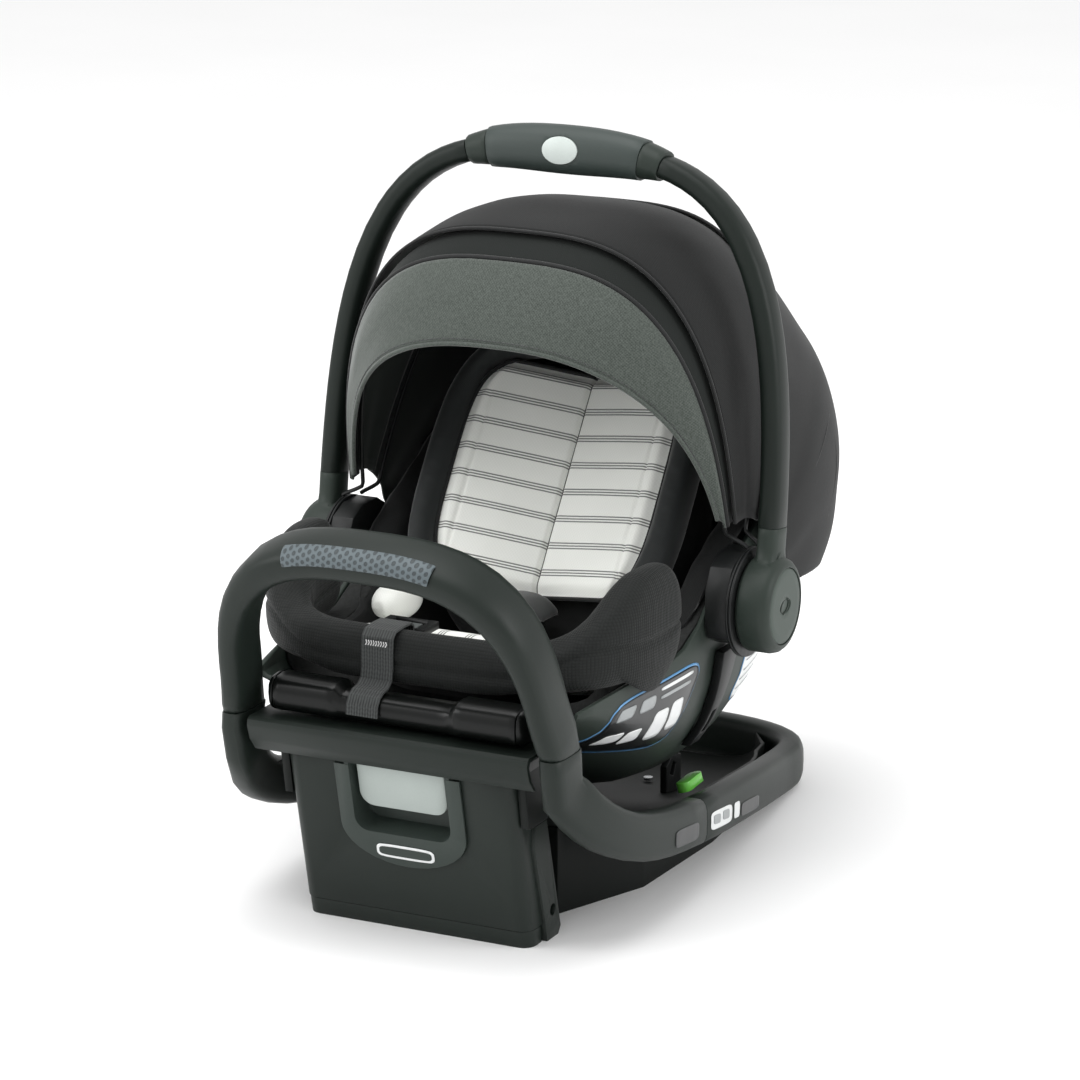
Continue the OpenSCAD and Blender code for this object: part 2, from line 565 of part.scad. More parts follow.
// Back of the seat: everything on it is placed along this leaning line
back_foot = [0, -8, 226];
back_dir = unit([0, 91, 126]);
back_face = [0, -back_dir[2], back_dir[1]];
back_len = 176;
function back_place(x, s, lift) = back_foot + [x, 0, 0] + back_dir * s + back_face * lift;

module back_cushion() color([0.07, 0.07, 0.07]) loft([for (k = [0:10])
    let (s = lerp(-46, back_len + 6, k / 10), e = pow(sin(180 * (0.05 + 0.9 * k / 10)), 0.3))
    ring(back_place(0, s, -34), [1, 0, 0], back_face, 122 * e, 32 * e, 3.6, 28)]);

function insert_half(s) = insert_half_w * pow(max(0.02, 1 - pow(abs(s - 92) / 108, 4)), 1 / 4);
function hollow(x) = 24 * pow(abs(x) / insert_half_w, 1.6);
function insert_grid(lift) = [for (k = [0:14]) let (s = lerp(-8, 190, k / 14))
    [for (j = [-6:6]) let (x = insert_half(s) * j / 6) back_place(x, s, hollow(x) + lift)]];
module back_insert() color([0.86, 0.86, 0.83]) sheet(insert_grid(14), insert_grid(1));

// Dark roll around the insert
function roll_place(t) = let (sx = superell(insert_half_w + 14, 123, 3.4, t)) back_place(sx[0],
    92 + sx[1], 24);
module head_support() color([0.16, 0.17, 0.17]) loft([for (t = [-62:8:242]) let (c = roll_place(t),
    d = unit(roll_place(t + 1) - roll_place(t - 1)), e = t < -60 || t > 240 ? 0.5 : 1)
    ring(c, unit(cross(d, back_face)), back_face, 11 * e, 21 * e, 2.4, 14)]);

module thigh_pads() color([0.7, 0.7, 0.68]) both_sides() loft([for (k = [0:8]) let (y = lerp(-112, -44,
    k / 8),
    e = pow(sin(180 * (0.06 + 0.88 * k / 8)), 0.5))
    ring([98, y, 224 - 0.1 * (y + 80)], [1, 0, 0], [0, 0, 1], 16 * e, 17 * e, 2.4, 16)]);

// Buckle with its cover pad and strap, standing up between the legs
module crotch_pad() color([0.08, 0.08, 0.08]) sheet(
    [for (k = [0:10]) let (a = lerp(-70, 70, k / 10)) [for (y = [-74, -62, -50, -38,
        -30]) [32 * sin(a), y, 208 + 27 * cos(a) - 0.1 * (y + 50)]]],
    [for (k = [0:10]) let (a = lerp(-70, 70, k / 10)) [for (y = [-74, -62, -50, -38,
        -30]) [27.5 * sin(a), y, 206 + 23 * cos(a) - 0.1 * (y + 50)]]]);
module buckle() color([0.12, 0.12, 0.12]) difference() {
    translate([-19, -64, 206]) cube([38, 26, 13]);
    translate([-11, -65, 210]) cube([22, 12, 12]);
}
module buckle_button() color([0.7, 0.12, 0.1]) translate([-10.6, -66, 210.4]) cube([21.2, 9, 8]);
module crotch_strap() color([0.1, 0.1, 0.1]) translate([-web_w / 2, -52, 202]) cube([web_w, 12, 3.6]);

// Harness adjuster in the front of the seat and the webbing tail that pulls it
strap_x = -28;
adjuster_y = -207;
adjuster_z = 239.5;
lever_pin_r = 1.6;
lever_pin_y = adjuster_y + 6;
lever_pin_z = adjuster_z + 3;
module lever_axis(r, half) translate([strap_x - half, lever_pin_y, lever_pin_z]) rotate([0, 90, 0])
    cylinder(r = r, h = 2 * half);
module adjuster_housing() color([0.12, 0.12, 0.12]) difference() {
    translate([strap_x - 22, adjuster_y, adjuster_z]) cube([44, 26, 6]);
    translate([strap_x - 15, adjuster_y + 2, adjuster_z - 1]) cube([30, 21, 12]);
    lever_axis(lever_pin_r + pin_gap, 19);
}
module adjuster_lever() color([0.32, 0.33, 0.33]) {
    translate([strap_x - 12, lever_pin_y - 1.4, lever_pin_z - 1.4]) cube([24, 12.4, 3.4]);
    lever_axis(lever_pin_r, 18.5);
}
function strap_line() = [[-208.4, 243], [-208.6, 249], [-213, 252.6], [-227, 253], [-240, 252], [-245.6, 247],
    [-246.8, 236], [-246.8, 222], [-248.4, 213], [-254, 209], [-262, 207.8], [-268.5, 204.6], [-272.8,
        198], [-273.6, 189]];
module adjuster_strap() color([0.14, 0.15, 0.15]) {
    line = strap_line();
    grid = function (w) [for (i = [0:len(line) - 1])
        let (a = line[max(0, i - 1)], b = line[min(len(line) - 1, i + 1)], d = unit([b[0] - a[0],
            b[1] - a[1]]),
             n = [d[1], -d[0]])
        [for (x = [-web_w / 2, 0, web_w / 2]) [strap_x + x, line[i][0] + n[0] * w, line[i][1] + n[1] * w]]];
    sheet(grid(0), grid(-web_t));
}

// Release handle that frees the carrier from the base, under the back of the shell
release_lo = 214;
release_hi = 250;
release_half_x = 46;
release_pin_r = 2.5;
function release_point(y, lift) = let (d = unit([1, (low_z(y + 2) - low_z(y - 2)) / 4]))
    [y + d[1] * lift, low_z(y) - d[0] * lift];
function release_outline(y0, y1, lift0, lift1) = concat(
    [for (k = [0:5]) release_point(lerp(y0, y1, k / 5), lift0)],
    [for (k = [5:-1:0]) release_point(lerp(y0, y1, k / 5), lift1)]);
release_pin = release_point(release_lo + 5, 11);
module release_housing() color([0.12, 0.13, 0.13]) both_sides() difference() {
    side_prism(release_half_x + 1, release_half_x + 6, release_outline(release_lo, release_hi, 1, 18));
    translate([0, release_pin[0], release_pin[1]]) rotate([0, 90, 0])
        cylinder(r = release_pin_r + pin_gap, h = release_half_x + 10);
}
module release_lever() color([0.5, 0.52, 0.52]) {
    side_prism(-release_half_x, release_half_x, release_outline(release_lo + 2, release_hi - 2, 9, 14));
    translate([-release_half_x - 5, release_pin[0], release_pin[1]]) rotate([0, 90, 0])
        cylinder(r = release_pin_r, h = 2 * release_half_x + 10);
}

// ======================= canopy =======================
// Panels are drawn at an angle behind (-) or before (+) the vertical through the pivots
canopy_foot_r = 68;
function canopy_point(a, b, n, t, lean) = let (s = superell(a, b, n, t))
    [s[0], -s[1] * sin(lean), pivot_z + s[1] * cos(lean)];
function swept(row, t) = row[3] - (len(row) > 5 ? row[5] : 0) * pow(abs(cos(t)), 3);
function start_t(b, n, r) = asin(pow(r / b, n / 2));
// rows: [half width, radius, exponent, lean, lowest radius, sweep of the lean back towards the ends]
function canopy_grid(rows, o, steps = 26) = [for (w = rows)
    let (b = w[1] - o, t0 = start_t(b, w[2], w[4]))
    [for (k = [0:steps]) canopy_point(w[0] - o, b, w[2], lerp(t0, 180 - t0, k / steps), swept(w,
        lerp(t0, 180 - t0, k / steps)))]];
module canopy_panel(rows) sheet(canopy_grid(rows, 0), canopy_grid(rows, canopy_t));

rear_a = canopy_half_w + canopy_t + gap;
rear_r = canopy_r + canopy_t + gap;
rear_rows = [
    [rear_a, rear_r, 2.95, -26, canopy_foot_r], [rear_a, rear_r + 1, 2.95, -34, canopy_foot_r],
    [rear_a, rear_r + 3, 3, -43, canopy_foot_r], [rear_a, rear_r + 5, 3.2, -52, canopy_foot_r],
    [rear_a + 0.6, rear_r + 8, 3.5, -60, canopy_foot_r], [rear_a + 0.6, rear_r + 8, 3.75, -68, canopy_foot_r],
    [rear_a, rear_r + 8, 3.85, -76, canopy_foot_r + 4], [rear_a - 1, rear_r + 4, 3.7, -83, canopy_foot_r + 14],
    [rear_a - 2, rear_r - 8, 3.7, -90, canopy_foot_r + 34], [rear_a - 2.4, rear_r - 36, 3.7, -96.2,
        canopy_foot_r + 60]];
module canopy_rear() color([0.13, 0.13, 0.12]) canopy_panel(rear_rows);

crown_drop = 18;
mid_rows = [for (k = [0:5]) let (f = smooth(k / 5))
    [canopy_half_w, canopy_r - crown_drop * (1 - f), 3 - 0.05 * f, lerp(8, -29, k / 5), canopy_foot_r]];
module canopy_mid() color([0.14, 0.14, 0.13]) canopy_panel(mid_rows);

front_a = canopy_half_w - canopy_t - 1.2;
front_r = canopy_r - crown_drop - canopy_t - 1.2;
band_rows = [[front_a, front_r - 0.5, 2.95, 4, canopy_foot_r], [front_a, front_r, 2.95, 6.5, canopy_foot_r],
    [front_a, front_r - 2, 2.95, 9, canopy_foot_r], [front_a, front_r - 10, 3, 13.2, canopy_foot_r]];
module canopy_band() color([0.09, 0.09, 0.08]) canopy_panel(band_rows);
visor_rows = [[front_a, front_r - 10.4, 3, 13.7, canopy_foot_r], [front_a, front_r - 26, 2.9, 17.4,
    canopy_foot_r, 2],
    [front_a - 1, front_r - 43, 2.75, 21, canopy_foot_r + 4, 5], [front_a - 2, front_r - 60, 2.6, 24.6,
        canopy_foot_r + 8, 8]];
module canopy_visor() color([0.33, 0.34, 0.32]) canopy_panel(visor_rows);

// Bows: thin arches whose ends turn on rings at the handle pivots
bow_r = 1.8;
ring_in = pivot_r + 0.3;
function bow_point(a, b, n, out_x, r) = r > canopy_foot_r - 6
    ? [across(a, b, n, r), r] : [lerp(out_x, across(a, b, n, canopy_foot_r), smooth((r - 46) / 14)), r];
module bow(a, b, n, lean, out_x) {
    foot = [for (r = [47.5, 50, 54, 58, 62, 75, 100, 130, 160, 190, 215]) bow_point(a, b, n, out_x, r)];
    xt = across(a, b, n, 215);
    half = concat(foot, [for (k = [1:9]) let (x = lerp(xt, 0, k / 9)) [x, across(b, a, n, x)]]);
    flat_path = concat(half, [for (i = [len(half) - 2:-1:0]) [-half[i][0], half[i][1]]]);
    path = [for (p = flat_path) [p[0], -p[1] * sin(lean), pivot_z + p[1] * cos(lean)]];
    side = [0, -cos(lean), -sin(lean)];
    loft([for (i = [0:len(path) - 1]) let (t = tangent(path, i))
        ring(path[i], unit(cross(side, t)), side, bow_r, bow_r + 0.4, 2, 8)]);
}
module bow_rings(x0) both_sides() {
    translate([x0, 0, pivot_z]) rotate([0, 90, 0]) difference() {
        cylinder(r = 45.6, h = ring_t);
        translate([0, 0, -1]) cylinder(r = ring_in, h = ring_t + 2);
    }
}
module canopy_mid_bow() color([0.1, 0.1, 0.1]) {
    bow(canopy_half_w - canopy_t - 4, canopy_r - canopy_t - 4, 3, -27.5, mid_ring_x + ring_t / 2);
    bow_rings(mid_ring_x);
}
module canopy_front_bow() color([0.1, 0.1, 0.1]) {
    bow(front_a - canopy_t - 3, front_r - canopy_t - 5, 3, 7, front_ring_x + ring_t / 2);
    bow_rings(front_ring_x);
}

// ======================= handle =======================
handle_n = 3.3;
neck_h = 64;
function handle_x(h) = across(arm_x, handle_rise, handle_n, h);
function handle_h(x) = across(handle_rise, arm_x, handle_n, x);
function handle_place(x, h) = [x, h * sin(handle_lean), pivot_z + h * cos(handle_lean)];
handle_normal = [0, cos(handle_lean), -sin(handle_lean)];
handle_split_h = 300;
handle_top_x = [155, 145, 134, 122, 110, 99, grip_half + 0.5];
grip_xs = [for (k = [0:10]) lerp(grip_half, -grip_half, k / 10)];
core = 0.62;
button_a = 16;
button_b = 11.4;

function handle_half() = concat(
    [for (k = [0:12]) let (h = lerp(neck_h, handle_split_h - 8, k / 12)) [handle_x(h), h, 1]],
    [for (x = handle_top_x) [x, handle_h(x), 1]], [[grip_half, handle_h(grip_half), core]]);
function handle_nodes() = let (h = handle_half()) concat(h,
    [for (k = [1:9]) [grip_xs[k], handle_h(grip_xs[k]), core]],
    [for (i = [len(h) - 1:-1:0]) [-h[i][0], h[i][1], h[i][2]]]);
function handle_ring(p, t, hu, hv, n) = ring(p, unit(cross(handle_normal, t)), handle_normal, hu, hv, n, 18);

module handle_frame() color([0.16, 0.18, 0.17]) difference() {
    rows = handle_nodes();
    path = [for (r = rows) handle_place(r[0], r[1])];
    loft([for (i = [0:len(path) - 1]) handle_ring(path[i], tangent(path, i),
        arm_half_w * rows[i][2] * (rows[i][2] < 1 ? 1.25 : 1),
        arm_half_d * rows[i][2], rows[i][2] < 1 ? 2 : 3)]);
    button_well(4.5);
}

module button_well(extra) {
    translate(handle_place(0, handle_h(0))) rotate([90 - handle_lean, 0, 0]) translate([0, 0, -2])
        oval_block(button_a + 0.5 + extra, button_b + 0.4 + extra / 2, 40);
}
module oval_block(a, b, h) linear_extrude(height = h)
    polygon([for (t = [0:10:350]) [a * cos(t), b * sin(t)]]);

// Hub housing: a rounded drum with a neck that meets the arm
module hub_side() {
    difference() {
        union() {
            about_pivot([[hub_inner_x, 12], [hub_inner_x, hub_r - 3], [hub_inner_x + 3, hub_r],
                [hub_outer_x - 9, hub_r],
                [hub_outer_x - 4, hub_r - 1.4], [hub_outer_x - 1.2, hub_r - 4], [hub_outer_x, hub_r - 7.5],
                [hub_outer_x, hub_r - 8], [hub_outer_x - 3, hub_r - 8], [hub_outer_x - 3, 12]]);
            loft([for (k = [0:8]) let (h = lerp(14, neck_h - 0.3, k / 8), f = smooth((h - 10) / 34))
                ring(handle_place(arm_x, h), [1, 0, 0], handle_normal, lerp(hub_w / 2 - 1.8, arm_half_w, f),
                    lerp(hub_r - 3, arm_half_d, f), 3, 20)]);
        }
        translate([0, 0, pivot_z]) rotate([0, 90, 0]) cylinder(r = pivot_r + pin_gap, h = hub_outer_x - 4);
        translate([hub_outer_x - 3, 0, pivot_z]) rotate([0, 90, 0]) cylinder(r = hub_r - 8, h = 8);
    }
    translate([0, 0, pivot_z]) rotate([0, 90, 0]) translate([0, 0, hub_inner_x]) difference() {
        cylinder(r = 14, h = hub_w - 7);
        translate([0, 0, -1]) cylinder(r = pivot_r + pin_gap, h = hub_w);
    }
}
module hub_housings() color([0.2, 0.22, 0.21]) both_sides() hub_side();

module hub_caps() color([0.3, 0.33, 0.31]) both_sides() difference() {
    about_pivot([[hub_outer_x - 2.6, 0], [hub_outer_x - 2.6, hub_r - 8.5], [hub_outer_x - 0.8, hub_r - 8.5],
        [hub_outer_x - 0.2, hub_r - 10], [hub_outer_x, 0]]);
    translate([hub_outer_x - 1.2, 0, pivot_z]) rotate([90, 0, 90]) linear_extrude(height = 4)
        polygon([for (t = [0:12:348]) [11 * cos(t), 6 * sin(t)]]);
}

// Grip: a soft sleeve over the middle of the handle, with a collar at each end
function grip_rings(x0, x1, steps, hu0, hu1, hv0, hv1) = [for (k = [0:steps])
    let (x = lerp(x0, x1, k / steps), p = handle_place(x, handle_h(x)), t = unit(handle_place(x - 1,
        handle_h(x - 1)) - handle_place(x + 1, handle_h(x + 1))),
         f = 1 - pow(abs(x) / grip_half, 2))
    handle_ring(p, t, lerp(hu0, hu1, f), lerp(hv0, hv1, f), 2.4)];
core_hu = arm_half_w * core * 1.25 + gap;
core_hv = arm_half_d * core + gap;
module grip_sleeve() color([0.3, 0.32, 0.31]) difference() {
    half = grip_half - collar_len;
    sleeve(grip_rings(half, -half, 16, 15, sleeve_half_h, arm_half_d, sleeve_half_d),
        grip_rings(half, -half, 16, core_hu, core_hu, core_hv, core_hv));
    button_well(0);
}
module grip_collars() color([0.2, 0.22, 0.21]) both_sides()
    sleeve(grip_rings(grip_half - 0.4, grip_half - collar_len + 0.4, 4, 12.5, sleeve_half_h,
        arm_half_d + 1, sleeve_half_d),
        grip_rings(grip_half - 0.4, grip_half - collar_len + 0.4, 4, core_hu, core_hu, core_hv, core_hv));
module grip_button() color([0.8, 0.83, 0.82]) translate(handle_place(0,
    handle_h(0))) rotate([90 - handle_lean, 0, 0])
    translate([0, 0, 8.5]) oval_block(button_a, button_b, sleeve_half_d - 8);

base_pan();
base_tray();
base_rim_front();
base_rim_rear();
front_beam();
foot_guides();
rebound_bar();
bar_grip_pad();
carrier_latches();
rear_pads();
base_screws();
lockoff_button_left();
lockoff_button_right();
foot_tower();
foot_bezel();
foot_shoe();
foot_pins();
foot_lever();
shell();
front_lip();
lip_ends();
belt_hooks();
handle_mounts();
pivot_pins();
foam_liner();
seat_cover();
front_bolster();
seat_cushion();
back_cushion();
back_insert();
head_support();
thigh_pads();
crotch_pad();
crotch_strap();
buckle();
buckle_button();
adjuster_housing();
adjuster_lever();
adjuster_strap();
release_housing();
release_lever();
canopy_rear();
canopy_mid();
canopy_mid_bow();
canopy_band();
canopy_visor();
canopy_front_bow();
handle_frame();
hub_housings();
hub_caps();
grip_sleeve();
grip_collars();
grip_button();
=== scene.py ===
"""Looks of the infant car seat: fabrics, webbing, piping, moulded finishes, floor, lights and camera.

Everything is in metres in the part's own frame: +X is the seat's left-hand side, -Y the foot end, +Z up.
"""

import math

import bmesh
import bpy
from mathutils import Matrix, Vector, noise
from mathutils.bvhtree import BVHTree


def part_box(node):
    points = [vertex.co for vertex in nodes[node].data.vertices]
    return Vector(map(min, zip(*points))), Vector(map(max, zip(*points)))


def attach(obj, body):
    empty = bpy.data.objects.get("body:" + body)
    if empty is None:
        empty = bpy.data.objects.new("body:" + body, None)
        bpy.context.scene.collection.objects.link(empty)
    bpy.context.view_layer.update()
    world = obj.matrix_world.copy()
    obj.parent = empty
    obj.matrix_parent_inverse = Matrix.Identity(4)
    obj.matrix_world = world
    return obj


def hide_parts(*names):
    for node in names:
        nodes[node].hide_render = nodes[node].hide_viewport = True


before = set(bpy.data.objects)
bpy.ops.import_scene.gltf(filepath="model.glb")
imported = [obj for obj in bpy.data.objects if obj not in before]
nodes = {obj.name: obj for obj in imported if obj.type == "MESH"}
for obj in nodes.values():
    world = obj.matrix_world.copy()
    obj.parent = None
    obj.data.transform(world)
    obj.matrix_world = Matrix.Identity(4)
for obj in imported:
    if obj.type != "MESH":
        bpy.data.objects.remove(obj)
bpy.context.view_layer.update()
scene = bpy.context.scene


# ------------------------------------------------------------------ finishes


def tone(red, green, blue):
    """A colour given as 0-255 display values, as linear light."""
    linear = [(v / 255 / 12.92) if v <= 10 else ((v / 255 + 0.055) / 1.055) ** 2.4 for v in (red,
        green, blue)]
    return (*linear, 1.0)


class Value:
    """A socket of a finish being made. Arithmetic on it adds the Math nodes."""

    def __init__(self, finish, socket):
        self.finish, self.socket = finish, socket

    def _math(self, operation, *values):
        return self.finish.node("ShaderNodeMath", {"operation": operation}, dict(enumerate(values)))

    def __add__(self, other):
        return self._math("ADD", self, other)

    def __sub__(self, other):
        return self._math("SUBTRACT", self, other)

    def __rsub__(self, other):
        return self._math("SUBTRACT", other, self)

    def __mul__(self, other):
        return self._math("MULTIPLY", self, other)

    def __truediv__(self, other):
        return self._math("DIVIDE", self, other)

    def __pow__(self, other):
        return self._math("POWER", self, other)

    def __lt__(self, other):
        return self._math("LESS_THAN", self, other)

    def __gt__(self, other):
        return self._math("GREATER_THAN", self, other)

    def __abs__(self):
        return self._math("ABSOLUTE", self)

    def sine(self):
        return self._math("SINE", self)

    def ping(self, width):
        return self._math("PINGPONG", self, width)

    def larger(self, other):
        return self._math("MAXIMUM", self, other)

    def smaller(self, other):
        return self._math("MINIMUM", self, other)

    def eased(self, low, high):
        return self.finish.node(
            "ShaderNodeMapRange",
            {"interpolation_type": "SMOOTHSTEP"},
            {"Value": self, "From Min": low, "From Max": high},
        )

    __radd__ = __add__
    __rmul__ = __mul__


class Finish:
    """One material: its shader, and the one way in which nodes are added to it."""

    def __init__(self, name, **constants):
        self.material = bpy.data.materials.new(name)
        self.material.use_nodes = True
        self.tree = self.material.node_tree
        self.shader = next(n for n in self.tree.nodes if n.type == "BSDF_PRINCIPLED")
        for label, value in constants.items():
            self.shader.inputs[label.replace("_", " ")].default_value = value
        place = self.tree.nodes.new("ShaderNodeTexCoord")
        self.where = Value(self, place.outputs["Object"])
        self.facing = Value(self, place.outputs["Normal"])

    def node(self, kind, settings, sockets, output=0):
        made = self.tree.nodes.new(kind)
        for key, value in settings.items():
            if key == "stops":
                for spot, (at, colour) in zip(self._stops(made, len(value)), value):
                    spot.position, spot.color = at, colour
            else:
                setattr(made, key, value)
        for key, value in sockets.items():
            if isinstance(value, Value):
                self.tree.links.new(value.socket, made.inputs[key])
            else:
                made.inputs[key].default_value = value
        return Value(self, made.outputs[output])

    def _stops(self, made, count):
        spots = made.color_ramp.elements
        while len(spots) < count:
            spots.new(0.5)
        return spots

    def axes(self, vector=None):
        """The three numbers of a vector."""
        split = self.node("ShaderNodeSeparateXYZ", {}, {0: vector or self.where})
        outputs = split.socket.node.outputs
        return [Value(self, outputs[i]) for i in range(3)]

    def along(self, direction, start=(0, 0, 0)):
        """Distance from a start point along a direction, in metres."""
        moved = self.node("ShaderNodeVectorMath", {"operation": "SUBTRACT"}, {0: self.where, 1: start})
        return self.node("ShaderNodeVectorMath", {"operation": "DOT_PRODUCT"}, {0: moved,
            1: direction}, "Value")

    def noise(self, scale, detail=2.0, rough=0.5, stretch=None):
        at = self.where
        if stretch:
            at = self.node("ShaderNodeVectorMath", {"operation": "MULTIPLY"}, {0: at, 1: stretch})
        sockets = {"Vector": at, "Scale": scale, "Detail": detail, "Roughness": rough}
        return self.node("ShaderNodeTexNoise", {}, sockets, "Fac")

    def blended(self, factor, low, high):
        """A colour between two colours."""
        return self.node("ShaderNodeMix", {"data_type": "RGBA"}, {0: factor, 6: low, 7: high}, 2)

    def round_three(self, pattern):
        """A pattern of two places laid on each face by the way the face looks."""
        x, y, z = self.axes()
        nx, ny, nz = (abs(n) ** 4 for n in self.axes(self.facing))
        total = nx + ny + nz + 0.001
        return (pattern(y, z) * nx + pattern(x, z) * ny + pattern(x, y) * nz) / total

    def bumped(self, height, strength, distance, normal=None):
        sockets = {"Height": height, "Strength": strength, "Distance": distance}
        if normal:
            sockets["Normal"] = normal
        return self.node("ShaderNodeBump", {}, sockets)

    def feed(self, label, value):
        self.tree.links.new(value.socket, self.shader.inputs[label])
        return self


def moulded(name, colour, rough=0.42, grain=0.35, coat=0.0, specular=0.3):
    """Moulded plastic: fine spark grain, slow gloss variation and faint handling marks."""
    f = Finish(name, Coat_Weight=coat, Coat_Roughness=0.2, Specular_IOR_Level=specular)
    slow = f.noise(9.0, 3.0)
    fine = f.noise(1500.0, 2.0, 0.6)
    cells = f.node("ShaderNodeTexVoronoi", {"feature": "F1"}, {"Vector": f.where, "Scale": 950.0},
        "Distance")
    scuffs = f.noise(60.0, 5.0, 0.7, (1.0, 6.0, 1.6)).eased(0.62, 0.8)
    dark = tuple(c * 0.88 for c in colour[:3]) + (1.0,)
    light = tuple(min(1.0, c * 1.12 + 0.002) for c in colour[:3]) + (1.0,)
    f.feed("Base Color", f.blended((slow * 0.7 + fine * 0.3).eased(0.25, 0.75), dark, light))
    f.feed("Roughness", rough + (slow - 0.5) * 0.12 + (fine - 0.5) * 0.1 + scuffs * 0.06)
    f.feed("Normal", f.bumped(cells * 0.6 + fine * 0.4, grain, 0.00012))
    return f.material


def base_plastic():
    return moulded("base_satin_black", tone(25, 32, 28), 0.44, 0.35, specular=0.25)


def pan_plastic():
    return moulded("base_pan_black", tone(15, 19, 17), 0.54, 0.45, specular=0.2)


def shell_plastic():
    return moulded("shell_slate_grey", tone(44, 52, 47), 0.5, 0.4, specular=0.25)


def handle_plastic():
    return moulded("handle_satin_black", tone(21, 28, 24), 0.44, 0.3, specular=0.22)


def hub_plastic():
    return moulded("hub_satin_grey", tone(38, 46, 41), 0.46, 0.35, specular=0.25)


def cap_plastic():
    return moulded("hub_cap_grey", tone(56, 66, 60), 0.46, 0.35)


def bezel_plastic():
    return moulded("foot_bezel_grey", tone(48, 56, 52), 0.44, 0.3)


def lever_plastic():
    return moulded("lever_silver_grey", tone(160, 168, 164), 0.36, 0.2)


def lip_plastic():
    return moulded("lip_gloss_black", tone(4, 6, 5), 0.3, 0.08, 0.1, 0.2)


def black_plastic():
    return moulded("fitting_black", tone(16, 18, 18), 0.44, 0.35)


def grey_plastic():
    return moulded("fitting_grey", tone(82, 86, 85), 0.44, 0.3)


def button_plastic():
    return moulded("grip_button_pale", tone(196, 204, 200), 0.36, 0.15)


def green_plastic():
    return moulded("belt_button_green", tone(104, 190, 72), 0.32, 0.2, 0.2)


def red_plastic():
    return moulded("buckle_button_red", tone(176, 30, 26), 0.34, 0.2, 0.2)


def foot_rubber():
    return moulded("foot_pad_rubber", tone(22, 22, 22), 0.8, 0.6)


def plated_steel():
    """Bright zinc-plated steel with brushed streaks."""
    f = Finish("pin_plated_steel", Metallic=1.0)
    streaks = f.noise(40.0, 3.0, 0.6, (30.0, 1.0, 1.0))
    f.feed("Base Color", f.blended(streaks, tone(150, 152, 155), tone(205, 207, 208)))
    f.feed("Roughness", 0.22 + streaks * 0.2)
    return f.material


def foam_beads():
    """Dark expanded foam, its beads showing as shallow cells."""
    f = Finish("liner_bead_foam", Roughness=0.9)
    cells = f.node("ShaderNodeTexVoronoi", {"feature": "F1"}, {"Vector": f.where, "Scale": 260.0},
        "Distance")
    f.feed("Base Color", f.blended(cells, tone(34, 36, 35), tone(22, 23, 22)))
    f.feed("Normal", f.bumped(1 - cells, 0.6, 0.0006))
    return f.material


def woven(name, dark, light, pitch=0.0011, sheen=0.25, rough=0.82, depth=0.00018, streak=(1.0, 1.0, 1.0)):
    """Plain-woven cloth: over-and-under threads, uneven yarn colour and a soft sheen."""
    f = Finish(name, Sheen_Weight=sheen, Sheen_Roughness=0.4, Specular_IOR_Level=0.25)
    turn = math.pi / pitch

    def threads(u, v):
        return ((u * turn).sine() * (v * turn).sine()) * 0.5 + 0.5

    cloth = f.round_three(threads)
    yarn = f.noise(420.0, 3.0, 0.65, streak)
    slow = f.noise(14.0, 3.0)
    f.feed("Base Color", f.blended((cloth * 0.35 + yarn * 0.45 + slow * 0.2).eased(0.2, 0.8), dark, light))
    f.feed("Roughness", rough + (yarn - 0.5) * 0.2)
    f.feed("Normal", f.bumped(cloth * 0.7 + yarn * 0.3, 0.55, depth))
    return f.material


def canopy_cloth():
    return woven("canopy_cloth_black", tone(29, 34, 31), tone(43, 49, 45), 0.0011, 0.16)


def band_cloth():
    return woven("band_cloth_black", tone(14, 18, 16), tone(24, 28, 26), 0.0011, 0.08)


def lining_cloth():
    return woven("lining_cloth_black", tone(13, 14, 14), tone(21, 22, 22), 0.0012, 0.1)


def seat_cloth():
    return woven("seat_cloth_black", tone(17, 18, 18), tone(28, 29, 29), 0.0012, 0.12)


def smooth_cloth():
    return woven("roll_cloth_charcoal", tone(27, 29, 29), tone(38, 41, 41), 0.0009, 0.35, 0.66, 0.00008)


def piping_cloth():
    return woven("piping_black", tone(18, 19, 19), tone(33, 34, 34), 0.0008, 0.2, 0.6)


def heather_cloth():
    """Two-tone heather: pale and dark yarns mixed in short streaks."""
    f = Finish("visor_cloth_heather", Sheen_Weight=0.35, Sheen_Roughness=0.45, Specular_IOR_Level=0.25)
    turn = math.pi / 0.0012
    cloth = f.round_three(lambda u, v: ((u * turn).sine() * (v * turn).sine()) * 0.5 + 0.5)
    short = f.noise(1100.0, 3.0, 0.7, (0.45, 1.0, 1.0))
    tall = f.noise(900.0, 2.0, 0.7, (1.0, 0.7, 0.35))
    mix = (short * 0.5 + tall * 0.35 + cloth * 0.15).eased(0.34, 0.66)
    f.feed("Base Color", f.blended(mix, tone(52, 58, 53), tone(83, 89, 84)))
    f.feed("Roughness", 0.78 + (short - 0.5) * 0.2)
    f.feed("Normal", f.bumped(cloth * 0.6 + short * 0.4, 0.6, 0.0002))
    return f.material


